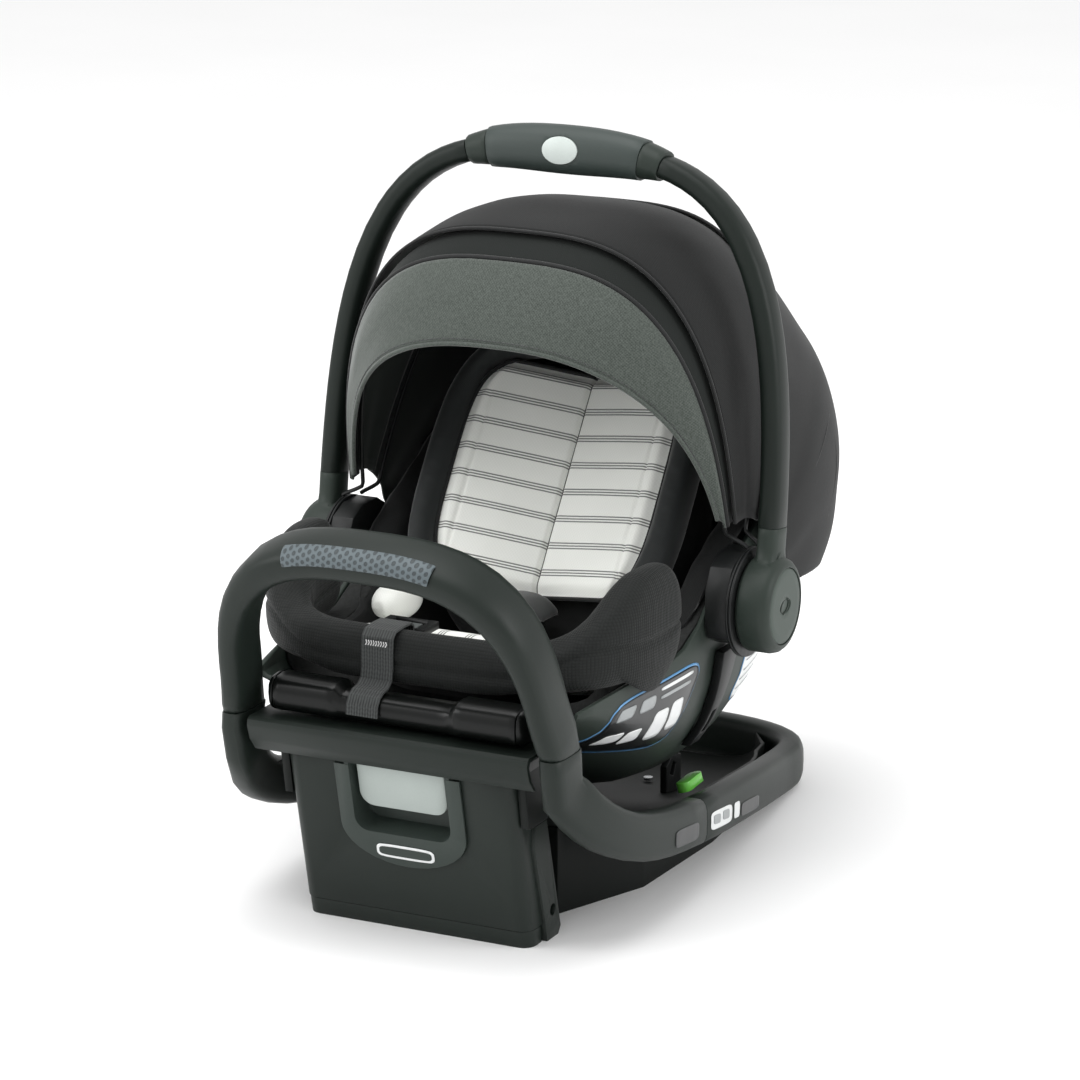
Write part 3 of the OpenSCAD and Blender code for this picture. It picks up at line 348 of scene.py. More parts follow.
def knit_cloth():
    """Spacer knit: rows of small open eyelets between fine ribs."""
    f = Finish("bolster_knit_black", Sheen_Weight=0.08, Sheen_Roughness=0.4, Specular_IOR_Level=0.3)
    turn = math.pi / 0.0024

    def eyelets(u, v):
        return (abs((u * turn).sine()) * abs((v * turn).sine())) ** 0.7

    knit = f.round_three(eyelets)
    ribs = f.round_three(lambda u, v: (u * (turn * 0.5)).sine() * 0.5 + 0.5)
    yarn = f.noise(600.0, 2.0, 0.6)
    slow = f.noise(18.0, 3.0)
    shade = (knit * 0.6 + yarn * 0.2 + slow * 0.2).eased(0.15, 0.85)
    f.feed("Base Color", f.blended(shade, tone(4, 6, 5), tone(18, 22, 20)))
    f.feed("Roughness", 0.72 + (yarn - 0.5) * 0.2)
    f.feed("Normal", f.bumped(knit * 0.75 + ribs * 0.25, 0.8, 0.0005))
    return f.material


BACK_FOOT = Vector((0, -0.008, 0.226))
BACK_RISE = Vector((0, 91, 126)).normalized()
BACK_FACE = Vector((0, -BACK_RISE.z, BACK_RISE.y))


def striped_cloth(name, direction, start, pitch=0.0243):
    """Pale jersey with three fine dark lines at every pitch."""
    f = Finish(name, Sheen_Weight=0.3, Sheen_Roughness=0.5, Specular_IOR_Level=0.2)
    run = f.along(direction, start)
    turn = math.pi / 0.0013
    jersey = f.round_three(lambda u, v: ((u * turn).sine() * (v * turn).sine()) * 0.5 + 0.5)
    phase = (run + (f.noise(300.0) - 0.5) * 0.0003) / pitch
    off = abs(f.node("ShaderNodeMath", {"operation": "FRACT"}, {0: phase + 20.0}) - 0.5) * pitch
    middle = 1 - off.eased(0.00035, 0.0008)
    outer = 1 - abs(off - 0.0024).eased(0.00035, 0.0008)
    lines = middle.larger(outer)
    slow = f.noise(12.0, 2.0)
    ground = f.blended((jersey * 0.3 + slow * 0.7).eased(0.2, 0.8), tone(238, 240, 234), tone(250,
        251, 246))
    f.feed("Base Color", f.blended(lines * 0.86, ground, tone(74, 75, 76)))
    f.feed("Roughness", 0.8 + (jersey - 0.5) * 0.12)
    f.feed("Normal", f.bumped(jersey * 0.6 - lines * 0.5, 0.4, 0.0002))
    return f.material


def webbing_cloth():
    """Harness webbing: raised cross ribs between two dense selvedges."""
    f = Finish("webbing_charcoal", Sheen_Weight=0.15, Specular_IOR_Level=0.4)
    x, y, z = f.axes()
    ribs = (x * (math.pi / 0.0012)).sine() * 0.35 + ((y - z) * (math.pi / 0.0016) + (x * (math.pi / 0.0024)).sine()).sine() * 0.15 + 0.5
    yarn = f.noise(700.0, 2.0, 0.6)
    f.feed("Base Color", f.blended((ribs * 0.7 + yarn * 0.3).eased(0.2, 0.8), tone(20, 22, 22),
        tone(58, 62, 61)))
    f.feed("Roughness", 0.52 + yarn * 0.2)
    f.feed("Normal", f.bumped(ribs, 0.8, 0.0004))
    return f.material


def stitch_thread(name, colour):
    """Twisted polyester sewing thread."""
    f = Finish(name, Sheen_Weight=0.3, Roughness=0.55)
    twist = f.noise(1800.0, 1.0)
    dark = tuple(c * 0.6 for c in colour[:3]) + (1.0,)
    return f.feed("Base Color", f.blended(twist, dark, colour)).material


def rubber_grip(name, colour):
    """Soft-touch rubber: matt with a fine pebble."""
    f = Finish(name, Specular_IOR_Level=0.4)
    pebble = f.node("ShaderNodeTexVoronoi", {"feature": "SMOOTH_F1"}, {"Vector": f.where,
        "Scale": 700.0}, "Distance")
    slow = f.noise(16.0, 3.0)
    dark = tuple(c * 0.86 for c in colour[:3]) + (1.0,)
    f.feed("Base Color", f.blended(slow, dark, colour))
    f.feed("Roughness", 0.5 + (slow - 0.5) * 0.15)
    f.feed("Normal", f.bumped(pebble, 0.35, 0.0002))
    return f.material


def grip_cells():
    """Grey rubber with rows of raised six-sided cells."""
    f = Finish("bar_pad_cells", Specular_IOR_Level=0.35)
    turn = 2 * math.pi / 0.0046
    waves = [
        (f.along((math.cos(a), 0, math.sin(a))) * turn + math.pi / 2).sine()
        for a in (0.0, math.radians(60), math.radians(120))
    ]
    cells = ((waves[0] + waves[1] - waves[2]) / 3).eased(-0.42, 0.1)
    slow = f.noise(30.0, 3.0)
    f.feed("Base Color", f.blended(cells * 0.75 + slow * 0.25, tone(52, 58, 60), tone(92, 102, 106)))
    f.feed("Roughness", 0.5 + (slow - 0.5) * 0.15)
    f.feed("Normal", f.bumped(cells, 0.9, 0.0007))
    return f.material


def printed_film(name, colour, rough=0.34):
    """Satin printed film of a plain sticker."""
    f = Finish(name, Coat_Weight=0.25, Coat_Roughness=0.15)
    tint = f.noise(90.0, 2.0)
    dark = tuple(c * 0.93 for c in colour[:3]) + (1.0,)
    f.feed("Base Color", f.blended(tint, dark, colour))
    f.feed("Roughness", rough + (tint - 0.5) * 0.08)
    return f.material


# ------------------------------------------------------------------ shaping


def eased(t):
    t = min(1.0, max(0.0, t))
    return t * t * (3 - 2 * t)


def between(a, b, t):
    return a + (b - a) * t


def curve(table, at):
    """A smooth curve through [place, value] rows, read at one place."""
    i = 0
    while i < len(table) - 2 and at > table[i + 1][0]:
        i += 1

    def slope(k):
        lo, hi = max(0, k - 1), min(len(table) - 1, k + 1)
        return (table[hi][1] - table[lo][1]) / (table[hi][0] - table[lo][0])

    w = table[i + 1][0] - table[i][0]
    t = (at - table[i][0]) / w
    t2, t3 = t * t, t * t * t
    return (
        (2 * t3 - 3 * t2 + 1) * table[i][1]
        + (t3 - 2 * t2 + t) * w * slope(i)
        + (3 * t2 - 2 * t3) * table[i + 1][1]
        + (t3 - t2) * w * slope(i + 1)
    )


def rounded(a, b, n, degrees):
    """A point of a squared-off ellipse."""
    c, s = math.cos(math.radians(degrees)), math.sin(math.radians(degrees))
    return (
        a * math.copysign(abs(c) ** (2 / n), c),
        b * math.copysign(abs(s) ** (2 / n), s),
    )


def carried(piece, body):
    """The piece moves with a body."""
    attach(piece, body)
    return piece


def new_piece(name, points, faces, material):
    mesh = bpy.data.meshes.new(name)
    mesh.from_pydata([tuple(p) for p in points], [], faces)
    mesh.validate()
    mesh.update()
    for polygon in mesh.polygons:
        polygon.use_smooth = True
    made = bpy.data.objects.new(name, mesh)
    scene.collection.objects.link(made)
    mesh.materials.append(material)
    return made


def grid_faces(rows, cols, closed=False):
    span = cols if closed else cols - 1
    return [
        (r * cols + c, r * cols + (c + 1) % cols, (r + 1) * cols + (c + 1) % cols, (r + 1) * cols + c)
        for r in range(rows - 1)
        for c in range(span)
    ]


def cloth_grid(name, rows, material, thick, inside=None):
    """A sheet of cloth from rows of points, given its thickness inward."""
    made = new_piece(name, [p for row in rows for p in row], grid_faces(len(rows), len(rows[0])), material)
    made.data.materials.append(inside or material)
    solid = made.modifiers.new("cloth_thickness", "SOLIDIFY")
    solid.thickness, solid.offset, solid.use_even_offset = thick, -1.0, False
    solid.material_offset, solid.material_offset_rim = 1, 0
    return made


def lines(name, paths, radius, material, body, closed=False, sides=3):
    """Round lines such as piping, one spline for each path, riding on one body."""
    made = bpy.data.curves.new(name, "CURVE")
    made.dimensions, made.bevel_depth, made.bevel_resolution = "3D", radius, sides
    made.use_fill_caps = True
    for path in paths:
        spline = made.splines.new("POLY")
        spline.points.add(len(path) - 1)
        for point, at in zip(spline.points, path):
            point.co = (*at, 1.0)
        spline.use_cyclic_u = closed
        spline.use_smooth = True
    piece = bpy.data.objects.new(name, made)
    scene.collection.objects.link(piece)
    made.materials.append(material)
    return carried(piece, body)


def resampled(path, pitch):
    """The path's points at an even pitch."""
    made, left = [path[0].copy()], pitch
    for a, b in zip(path, path[1:]):
        length = (b - a).length
        at = left
        while at <= length:
            made.append(a.lerp(b, at / length))
            at += pitch
        left = at - length
    return made


def stitched(name, paths, material, body, pitch=0.0042, share=0.62, radius=0.00042):
    """Rows of lockstitch dashes."""
    dashes = []
    for path in paths:
        fine = resampled(path, pitch / 4)
        for k in range(0, len(fine) - 4, 4):
            dashes.append([fine[k], fine[k].lerp(fine[k + 2], 0.5), fine[k].lerp(fine[k + 4], share)])
    return lines(name, dashes, radius, material, body, sides=1)


def tree_of(piece):
    bm = bmesh.new()
    bm.from_mesh(piece.data)
    tree = BVHTree.FromBMesh(bm)
    bm.free()
    return tree


def laid_on(tree, points, way, lift=0.0):
    """Guide points dropped along a way on to a surface, and lifted off it."""
    made = []
    for p in points:
        found, normal, _, _ = tree.ray_cast(p - way * 0.3, way)
        if found is not None:
            if normal.dot(way) > 0:
                normal = -normal
            made.append(found + normal * lift)
    return made


def swollen(piece, voxel, pressure, cap, smooth_steps=4):
    """Inflates a padded form as cloth, and limits how far any point has moved."""
    for o in bpy.context.selected_objects:
        o.select_set(False)
    remesh = piece.modifiers.new("even_mesh", "REMESH")
    remesh.mode, remesh.voxel_size = "VOXEL", voxel
    bpy.context.view_layer.objects.active = piece
    bpy.ops.object.modifier_apply(modifier=remesh.name)
    relax = piece.modifiers.new("relax", "SMOOTH")
    relax.factor, relax.iterations = 0.5, smooth_steps
    bpy.ops.object.modifier_apply(modifier=relax.name)
    rest = [v.co.copy() for v in piece.data.vertices]
    cloth = piece.modifiers.new("fill", "CLOTH")
    cloth.settings.use_pressure = True
    cloth.settings.uniform_pressure_force = pressure
    cloth.settings.effector_weights.gravity = 0
    cloth.settings.tension_stiffness = 18
    cloth.point_cache.frame_start, cloth.point_cache.frame_end = 1, 20
    for at in range(1, 21):
        scene.frame_set(at)
    bpy.ops.object.modifier_apply(modifier=cloth.name)
    scene.frame_set(1)
    for v, start in zip(piece.data.vertices, rest):
        moved = v.co - start
        if moved.length > cap:
            v.co = start + moved * (cap / moved.length)
    piece.data.update()
    finer = piece.modifiers.new("finer", "SUBSURF")
    finer.levels = finer.render_levels = 1
    bpy.ops.object.modifier_apply(modifier=finer.name)
    for polygon in piece.data.polygons:
        polygon.use_smooth = True
    return piece


def drawn_in(piece, reach, rule):
    """Moves each point along its normal by what the rule gives for its place."""
    normals = [v.normal.copy() for v in piece.data.vertices]
    for v, normal in zip(piece.data.vertices, normals):
        v.co += normal * reach * rule(v.co, normal)
    piece.data.update()
    return piece


def from_node(name, node, material):
    """A new piece that starts as the CAD node's own shape."""
    mesh = nodes[node].data.copy()
    mesh.name = name
    made = bpy.data.objects.new(name, mesh)
    scene.collection.objects.link(made)
    bm = bmesh.new()
    bm.from_mesh(mesh)
    bmesh.ops.remove_doubles(bm, verts=bm.verts, dist=0.00002)
    bm.to_mesh(mesh)
    bm.free()
    mesh.materials.clear()
    mesh.materials.append(material)
    return made


def crisp(node, material, width=0.0009, angle=32):
    """A moulded CAD node: its own mesh with softened edges and its finish."""
    piece = nodes[node]
    for spot in range(len(piece.data.materials)):
        piece.data.materials[spot] = material
    for polygon in piece.data.polygons:
        polygon.use_smooth = True
    weld = piece.modifiers.new("joined_corners", "WELD")
    weld.merge_threshold = 0.00002
    bevel = piece.modifiers.new("soft_edges", "BEVEL")
    bevel.width, bevel.segments, bevel.limit_method = width, 2, "ANGLE"
    bevel.angle_limit, bevel.harden_normals = math.radians(angle), True
    return piece


# ------------------------------------------------------------------ moulded parts

finish = {
    "base": base_plastic(),
    "pan": pan_plastic(),
    "shell": shell_plastic(),
    "handle": handle_plastic(),
    "hub": hub_plastic(),
    "cap": cap_plastic(),
    "bezel": bezel_plastic(),
    "lever": lever_plastic(),
    "lip": lip_plastic(),
    "black": black_plastic(),
    "grey": grey_plastic(),
    "button": button_plastic(),
    "green": green_plastic(),
    "red": red_plastic(),
    "rubber": foot_rubber(),
    "steel": plated_steel(),
    "foam": foam_beads(),
    "canopy": canopy_cloth(),
    "band": band_cloth(),
    "lining": lining_cloth(),
    "seat": seat_cloth(),
    "smooth": smooth_cloth(),
    "piping": piping_cloth(),
    "heather": heather_cloth(),
    "knit": knit_cloth(),
    "webbing": webbing_cloth(),
    "grip": rubber_grip("grip_soft_grey", tone(52, 61, 58)),
    "pad": grip_cells(),
    "dark_film": printed_film("label_dark", tone(22, 24, 25)),
    "pale_film": printed_film("label_pale", tone(226, 228, 228)),
    "grey_film": printed_film("label_grey", tone(150, 154, 155)),
    "blue_film": printed_film("label_blue", tone(96, 152, 200)),
    "black_thread": stitch_thread("thread_black", tone(48, 50, 50)),
    "white_thread": stitch_thread("thread_white", tone(225, 225, 225)),
}


def dress_moulded_parts():
    for node in ("base_rim_front", "base_rim_rear", "front_beam", "rebound_bar", "foot_tower", "foot_shoe"):
        crisp(node, finish["base"])
    for node in ("base_pan", "base_tray", "foot_guides"):
        crisp(node, finish["pan"])
    crisp("shell", finish["shell"], 0.0012)
    crisp("handle_frame", finish["handle"])
    for node in ("hub_housings", "grip_collars"):
        crisp(node, finish["hub"])
    crisp("hub_caps", finish["cap"], 0.0006)
    crisp("foot_bezel", finish["bezel"], 0.0008)
    for node in ("foot_lever",):
        crisp(node, finish["lever"], 0.0014)
    for node in ("front_lip", "lip_ends"):
        crisp(node, finish["lip"])
    black = ("carrier_latches", "belt_hooks", "handle_mounts", "buckle", "adjuster_housing",
        "release_housing",
             "canopy_mid_bow", "canopy_front_bow")
    for node in black:
        crisp(node, finish["black"], 0.0007)
    for node in ("adjuster_lever", "release_lever"):
        crisp(node, finish["grey"])
    crisp("grip_button", finish["button"])
    crisp("grip_sleeve", finish["grip"])
    crisp("bar_grip_pad", finish["pad"])
    crisp("buckle_button", finish["red"])
    for node in ("lockoff_button_left", "lockoff_button_right"):
        crisp(node, finish["green"], 0.003)
    crisp("rear_pads", finish["rubber"])
    for node in ("base_screws", "foot_pins", "pivot_pins"):
        crisp(node, finish["steel"], 0.0004)
    crisp("foam_liner", finish["foam"])


# ------------------------------------------------------------------ canopy

pin_low, pin_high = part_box("pivot_pins")
PIVOT_Z = (pin_low.z + pin_high.z) / 2
PIVOT_Y = (pin_low.y + pin_high.y) / 2


def arch_point(half, radius, n, lean, t):
    """A point of a canopy arch that leans behind (-) or before (+) the upright through the pivots."""
    x, r = rounded(half, radius, n, t)
    a = math.radians(lean)
    return Vector((x, PIVOT_Y - r * math.sin(a), PIVOT_Z + r * math.cos(a)))


def arch_start(radius, n, low):
    return math.degrees(math.asin((low / radius) ** (n / 2)))


def panel_rows(table, rows, cols, shape=None):
    """Rows of points over a panel, from its arches: half width, radius, squareness, lean, lowest radius."""
    made = []
    places = [k for k in range(len(table))]
    for r in range(rows):
        f = r / (rows - 1)
        at = f * (len(table) - 1)
        half, radius, n, lean, low, sweep = (curve([[k, table[k][j]] for k in places],
            at) for j in range(6))
        start = arch_start(radius, n, low)
        row = []
        for c in range(cols):
            t = between(start, 180 - start, c / (cols - 1))
            dip = shape(f, t) if shape else 0.0
            row.append(arch_point(half - dip, radius - dip, n,
                lean - sweep * abs(math.cos(math.radians(t))) ** 3, t))
        made.append(row)
    return made


def surface_point(table, f, t, lift=0.0):
    at = f * (len(table) - 1)
    half, radius, n, lean, low, sweep = (curve([[k, table[k][j]] for k in range(len(table))],
        at) for j in range(6))
    return arch_point(half + lift, radius + lift, n, lean - sweep * abs(math.cos(math.radians(t))) ** 3, t)


def area_of(rows):
    total = 0.0
    for a, b in zip(rows, rows[1:]):
        for i in range(len(a) - 1):
            total += ((a[i + 1] - a[i]).cross(b[i] - a[i]).length + (a[i + 1] - b[i + 1]).cross(b[i] - b[i + 1]).length) / 2
    return total


def canopy_panel(name, node, body, table, cloth, thick, rows, cols, shape):
    points = panel_rows(table, rows, cols, shape)
    piece = cloth_grid(name, points, cloth, thick, finish["lining"])
    carried(piece, body)
    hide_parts(node)
    arch = sum((a - b).length for a, b in zip(points[rows // 2], points[rows // 2][1:]))
    depth = sum((points[r][cols // 2] - points[r + 1][cols // 2]).length for r in range(rows - 1))
    area = area_of(points)
    size = max(arch, area / depth), depth
    min(area, size[0] * size[1])
    return piece


CANOPY_R, CANOPY_A, LOW = 0.321, 0.178, 0.068
REAR_A, REAR_R = 0.1814, 0.3244
FRONT_A, FRONT_R = 0.1738, 0.2988
REAR = [
    (REAR_A, REAR_R, 2.95, -26, LOW, 0), (REAR_A, REAR_R + 0.001, 2.95, -34, LOW, 0),
    (REAR_A, REAR_R + 0.003, 3.0, -43, LOW, 0), (REAR_A, REAR_R + 0.005, 3.2, -52, LOW, 0),
    (REAR_A + 0.0012, REAR_R + 0.008, 3.5, -60, LOW, 0), (REAR_A + 0.0012, REAR_R + 0.008, 3.75,
        -68, LOW, 0),
    (REAR_A + 0.0006, REAR_R + 0.008, 3.85, -76, LOW + 0.004, 0), (REAR_A - 0.0008, REAR_R + 0.004,
        3.7, -83, LOW + 0.014, 0),
    (REAR_A - 0.002, REAR_R - 0.008, 3.7, -90, LOW + 0.034, 0), (REAR_A - 0.0024, REAR_R - 0.036,
        3.7, -96.2, LOW + 0.06, 0),
]
MID = [(CANOPY_A, CANOPY_R - 0.018 * (1 - eased(k / 5)), 3 - 0.05 * eased(k / 5), between(8, -29,
    k / 5), LOW, 0) for k in range(6)]
BAND = [(FRONT_A, FRONT_R - 0.0005, 2.95, 4, LOW, 0), (FRONT_A, FRONT_R, 2.95, 6.5, LOW, 0),
        (FRONT_A, FRONT_R - 0.002, 2.95, 9, LOW, 0), (FRONT_A, FRONT_R - 0.01, 3.0, 13.2, LOW, 0)]
VISOR = [(FRONT_A, FRONT_R - 0.0104, 3.0, 13.7, LOW, 0), (FRONT_A, FRONT_R - 0.026, 2.9, 17.4, LOW, 2),
         (FRONT_A - 0.001, FRONT_R - 0.043, 2.75, 21, LOW + 0.004, 5), (FRONT_A - 0.002,
             FRONT_R - 0.06, 2.6, 24.6, LOW + 0.008, 8)]


def ripples(depth, seed):
    """Soft cloth waves that die out at the seams."""

    def shape(f, t):
        place = Vector((t * 0.055, f * 2.2, seed))
        slow = noise.noise(place) + 0.5 * noise.noise(place * 2.3)
        pucker = noise.noise(Vector((t * 0.9, f * 3, seed + 9))) * max(0.0, 1 - min(f, 1 - f) * 14)
        return depth * (slow * 4 * f * (1 - f) + 0.35 * pucker)

    return shape


def arch_line(table, f, lift=0.0, cut=0.0, count=90):
    at = f * (len(table) - 1)
    radius, n, low = (curve([[k, table[k][j]] for k in range(len(table))], at) for j in (1, 2, 4))
    start = arch_start(radius, n, low) + cut
    return [surface_point(table, f, between(start, 180 - start, k / count), lift) for k in range(count + 1)]


def make_canopy():
    canopy_panel("canopy_rear_cloth", "canopy_rear", "carrier", REAR, finish["canopy"], 0.0016, 48, 120,
                 ripples(0.0012, 1.0))
    canopy_panel("canopy_mid_cloth", "canopy_mid", "canopy_mid", MID, finish["canopy"], 0.0014, 34, 120,
                 ripples(0.0008, 4.0))
    canopy_panel("canopy_band_cloth", "canopy_band", "canopy_front", BAND, finish["band"], 0.0014, 16, 120,
                 ripples(0.0005, 7.0))
    canopy_panel("canopy_visor_cloth", "canopy_visor", "canopy_front", VISOR, finish["heather"],
        0.0022, 22, 120,
                 ripples(0.001, 11.0))
    lines("visor_edge_piping", [arch_line(BAND, 1.0, 0.0003)], 0.0019, finish["piping"], "canopy_front")
    lines("visor_front_hem", [arch_line(VISOR, 1.0, -0.001)], 0.0019, finish["heather"], "canopy_front")
    lines("mid_front_piping", [arch_line(MID, 0.0, 0.0002)], 0.0015, finish["piping"], "canopy_mid")
    lines("rear_front_piping", [arch_line(REAR, 0.0, 0.0002)], 0.0016, finish["piping"], "carrier")
    boot = [surface_point(REAR, between(0.47, 0.5, abs(k - 45) / 45), between(12, 168, k / 90),
        0.0004) for k in range(91)]
    lines("boot_seam", [boot], 0.0011, finish["piping"], "carrier")
    yokes = [[surface_point(REAR, between(0.5, 0.99, k / 30), 90 + side * between(54, 24, k / 30),
        0.0004) for k in range(31)]
             for side in (-1, 1)]
    darts = [[surface_point(REAR, between(0.5, 0.8, k / 24), 90 + side * between(54, 66, k / 24),
        0.0004) for k in range(25)]
             for side in (-1, 1)]
    lines("boot_yoke_seams", yokes + darts, 0.0009, finish["piping"], "carrier")
    stitched("visor_stitches", [arch_line(VISOR, 0.955, 0.0004)], finish["black_thread"], "canopy_front")
    stitched("mid_stitches", [arch_line(MID, 0.025, 0.0004), arch_line(MID, 0.06, 0.0004)],
        finish["black_thread"], "canopy_mid")
    stitched("rear_stitches", [arch_line(REAR, 0.016, 0.0004)], finish["black_thread"], "carrier")


# ------------------------------------------------------------------ seat softs


def wrap_over_rim(piece):
    """The outer face of the roll hangs down over the shell's rim, most of all at the sides."""
    low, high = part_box("front_bolster")
    for v in piece.data.vertices:
        out = max(abs(v.co.x) - (high.x - 0.017), (low.y + 0.014) - v.co.y)
        share = eased(out / 0.012) * (1 - eased((v.co.z - 0.205) / 0.06))
        reach = between(0.010, 0.024, eased((abs(v.co.x) - 0.12) / 0.03))
        share *= eased((high.y - 0.006 - v.co.y) / 0.05)
        v.co.z -= reach * share
    piece.data.update()


def make_bolster():
    """Knit roll round the front of the bowl, with a seam along its middle."""
    piece = from_node("front_bolster_knit", "front_bolster", finish["knit"])
    swollen(piece, 0.005, 3.5, 0.003)

    def creases(co, normal):
        side = eased((abs(co.x) - 0.1) / 0.05)
        seam = math.exp(-(((co.z - between(0.2315, 0.249,
            side)) / 0.0022) ** 2)) * (1 - abs(normal.z)) ** 0.5
        folds = noise.noise(Vector((co.x * 26, co.y * 26, co.z * 9))) * 0.5
        return -1.0 * seam + 0.5 * folds

    drawn_in(piece, 0.0022, creases)
    wrap_over_rim(piece)
    carried(piece, "carrier")
    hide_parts("front_bolster")
    return piece


def make_seat_cushion():
    piece = from_node("seat_cushion_jersey", "seat_cushion", striped_cloth("seat_jersey_striped",
        (1, 0, 0), (0.004, 0, 0), 0.0243))
    swollen(piece, 0.005, 3.0, 0.004)
    carried(piece, "carrier")
    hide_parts("seat_cushion")


def back_place(x, s, lift):
    return BACK_FOOT + Vector((x, 0, 0)) + BACK_RISE * s + BACK_FACE * lift


INSERT_HALF = 0.097


def insert_half(s):
    return INSERT_HALF * max(0.02, 1 - abs((s - 0.092) / 0.108) ** 4) ** 0.25


def make_back_insert():
    """Two-leaf pad that closes in a V on its middle seam, crowned in each leaf."""
    jersey = striped_cloth("insert_jersey_striped", tuple(BACK_RISE), tuple(BACK_FOOT))
    rows, cols = 90, 121
    top = []
    for r in range(rows):
        s = between(-0.0085, 0.1925, r / (rows - 1))
        row = []
        for c in range(cols):
            u = 2 * c / (cols - 1) - 1
            x = insert_half(s) * u
            part = abs(x) / INSERT_HALF
            lift = 0.024 * part**1.6 + 0.012
            lift += 0.0055 * math.sin(math.pi * min(1, part)) ** 0.8
            lift -= 0.0042 * math.exp(-((x / 0.0016) ** 2))
            edge = min(1 - abs(u), min(s + 0.0085, 0.1925 - s) / 0.1)
            lift -= 0.007 * (1 - eased(edge / 0.12))
            lift -= 0.0018 * math.exp(-(((abs(x) - 0.079) / 0.0012) ** 2)) * eased((0.17 - s) / 0.02)
            lift += 0.0006 * noise.noise(Vector((x * 30, s * 30, 2.0)))
            row.append(back_place(x, s, lift))
        top.append(row)
    piece = cloth_grid("back_insert_jersey", top, jersey, 0.009)
    carried(piece, "carrier")
    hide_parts("back_insert")
    seam = [top[r][cols // 2] + BACK_FACE * 0.0006 for r in range(2, rows - 2)]
    lines("insert_seam", [seam], 0.0005, finish["black_thread"], "carrier")
    rim = [top[r][0] for r in range(rows)] + top[-1][1:] + [top[r][-1] for r in range(rows - 2, -1,
        -1)] + top[0][-2:0:-1]
    rim = [p + BACK_FACE * 0.0012 for p in rim]
    lines("insert_piping", [resampled(rim, 0.003)], 0.0017, finish["piping"], "carrier", closed=True)


def make_head_roll():
    piece = from_node("head_roll_cloth", "head_support", finish["smooth"])
    swollen(piece, 0.004, 3.0, 0.004, 8)
    carried(piece, "carrier")
    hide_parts("head_support")


def make_back_cushion():
    piece = from_node("back_cushion_cloth", "back_cushion", finish["seat"])
    swollen(piece, 0.006, 3.0, 0.004)
    carried(piece, "carrier")
    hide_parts("back_cushion")


def make_thigh_pads():
    piece = from_node("thigh_pads_jersey", "thigh_pads", striped_cloth("thigh_jersey_plain", (0, 0,
        1), (0, 0, 5), 0.4))
    swollen(piece, 0.004, 4.0, 0.005)
    carried(piece, "carrier")
    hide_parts("thigh_pads")


def make_crotch_pad():
    piece = from_node("crotch_pad_cloth", "crotch_pad", finish["smooth"])
    swollen(piece, 0.003, 4.0, 0.003)
    carried(piece, "carrier")
    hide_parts("crotch_pad")


def make_seat_cover():
    piece = from_node("seat_cover_cloth", "seat_cover", finish["seat"])
    finer = piece.modifiers.new("finer", "SUBSURF")
    finer.levels = finer.render_levels = 1
    for polygon in piece.data.polygons:
        polygon.use_smooth = True
    carried(piece, "carrier")
    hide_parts("seat_cover")


def make_webbing():
    strap = from_node("adjuster_webbing", "adjuster_strap", finish["webbing"])
    carried(strap, "carrier")
    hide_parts("adjuster_strap")
    lap = from_node("crotch_webbing", "crotch_strap", finish["webbing"])
    carried(lap, "carrier")
    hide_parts("crotch_strap")


# ------------------------------------------------------------------ plain labels and plates


def film(name, node, corners, way, material, body, lift=0.0004, steps=24, soft=6.0):
    """A thin film with rounded corners, pressed on to a moulded node inside four corners."""
    tree = tree_of(nodes[node])
    way = Vector(way)
    a, b, c, d = (Vector(p) for p in corners)
    rows = []
    for r in range(steps + 1):
        v = 2 * r / steps - 1
        row = []
        for k in range(steps + 1):
            u = (2 * k / steps - 1) * (1 - abs(v) ** soft * 0.12)
            w = v * (1 - abs(2 * k / steps - 1) ** soft * 0.12)
            s, t = (u + 1) / 2, (w + 1) / 2
            spot = a.lerp(b, s).lerp(d.lerp(c, s), t)
            found = laid_on(tree, [spot], way, lift)
            row.append(found[0] if found else spot)
        rows.append(row)
    piece = new_piece(name, [p for row in rows for p in row], grid_faces(steps + 1, steps + 1), material)
    skin = piece.modifiers.new("film_thickness", "SOLIDIFY")
    skin.thickness, skin.offset = 0.00025, 0.0
    return carried(piece, body)


def side_film(name, node, y0, y1, z0, z1, material, body, lift=0.0004, slope=0.0, x=0.3, steps=20):
    """A film on a right-hand outer face; slope lowers its rear end."""
    corners = [(x, y0, z1), (x, y1, z1 - slope), (x, y1, z0 - slope), (x, y0, z0)]
    return film(name, node, corners, (-1, 0, 0), material, body, lift, steps)


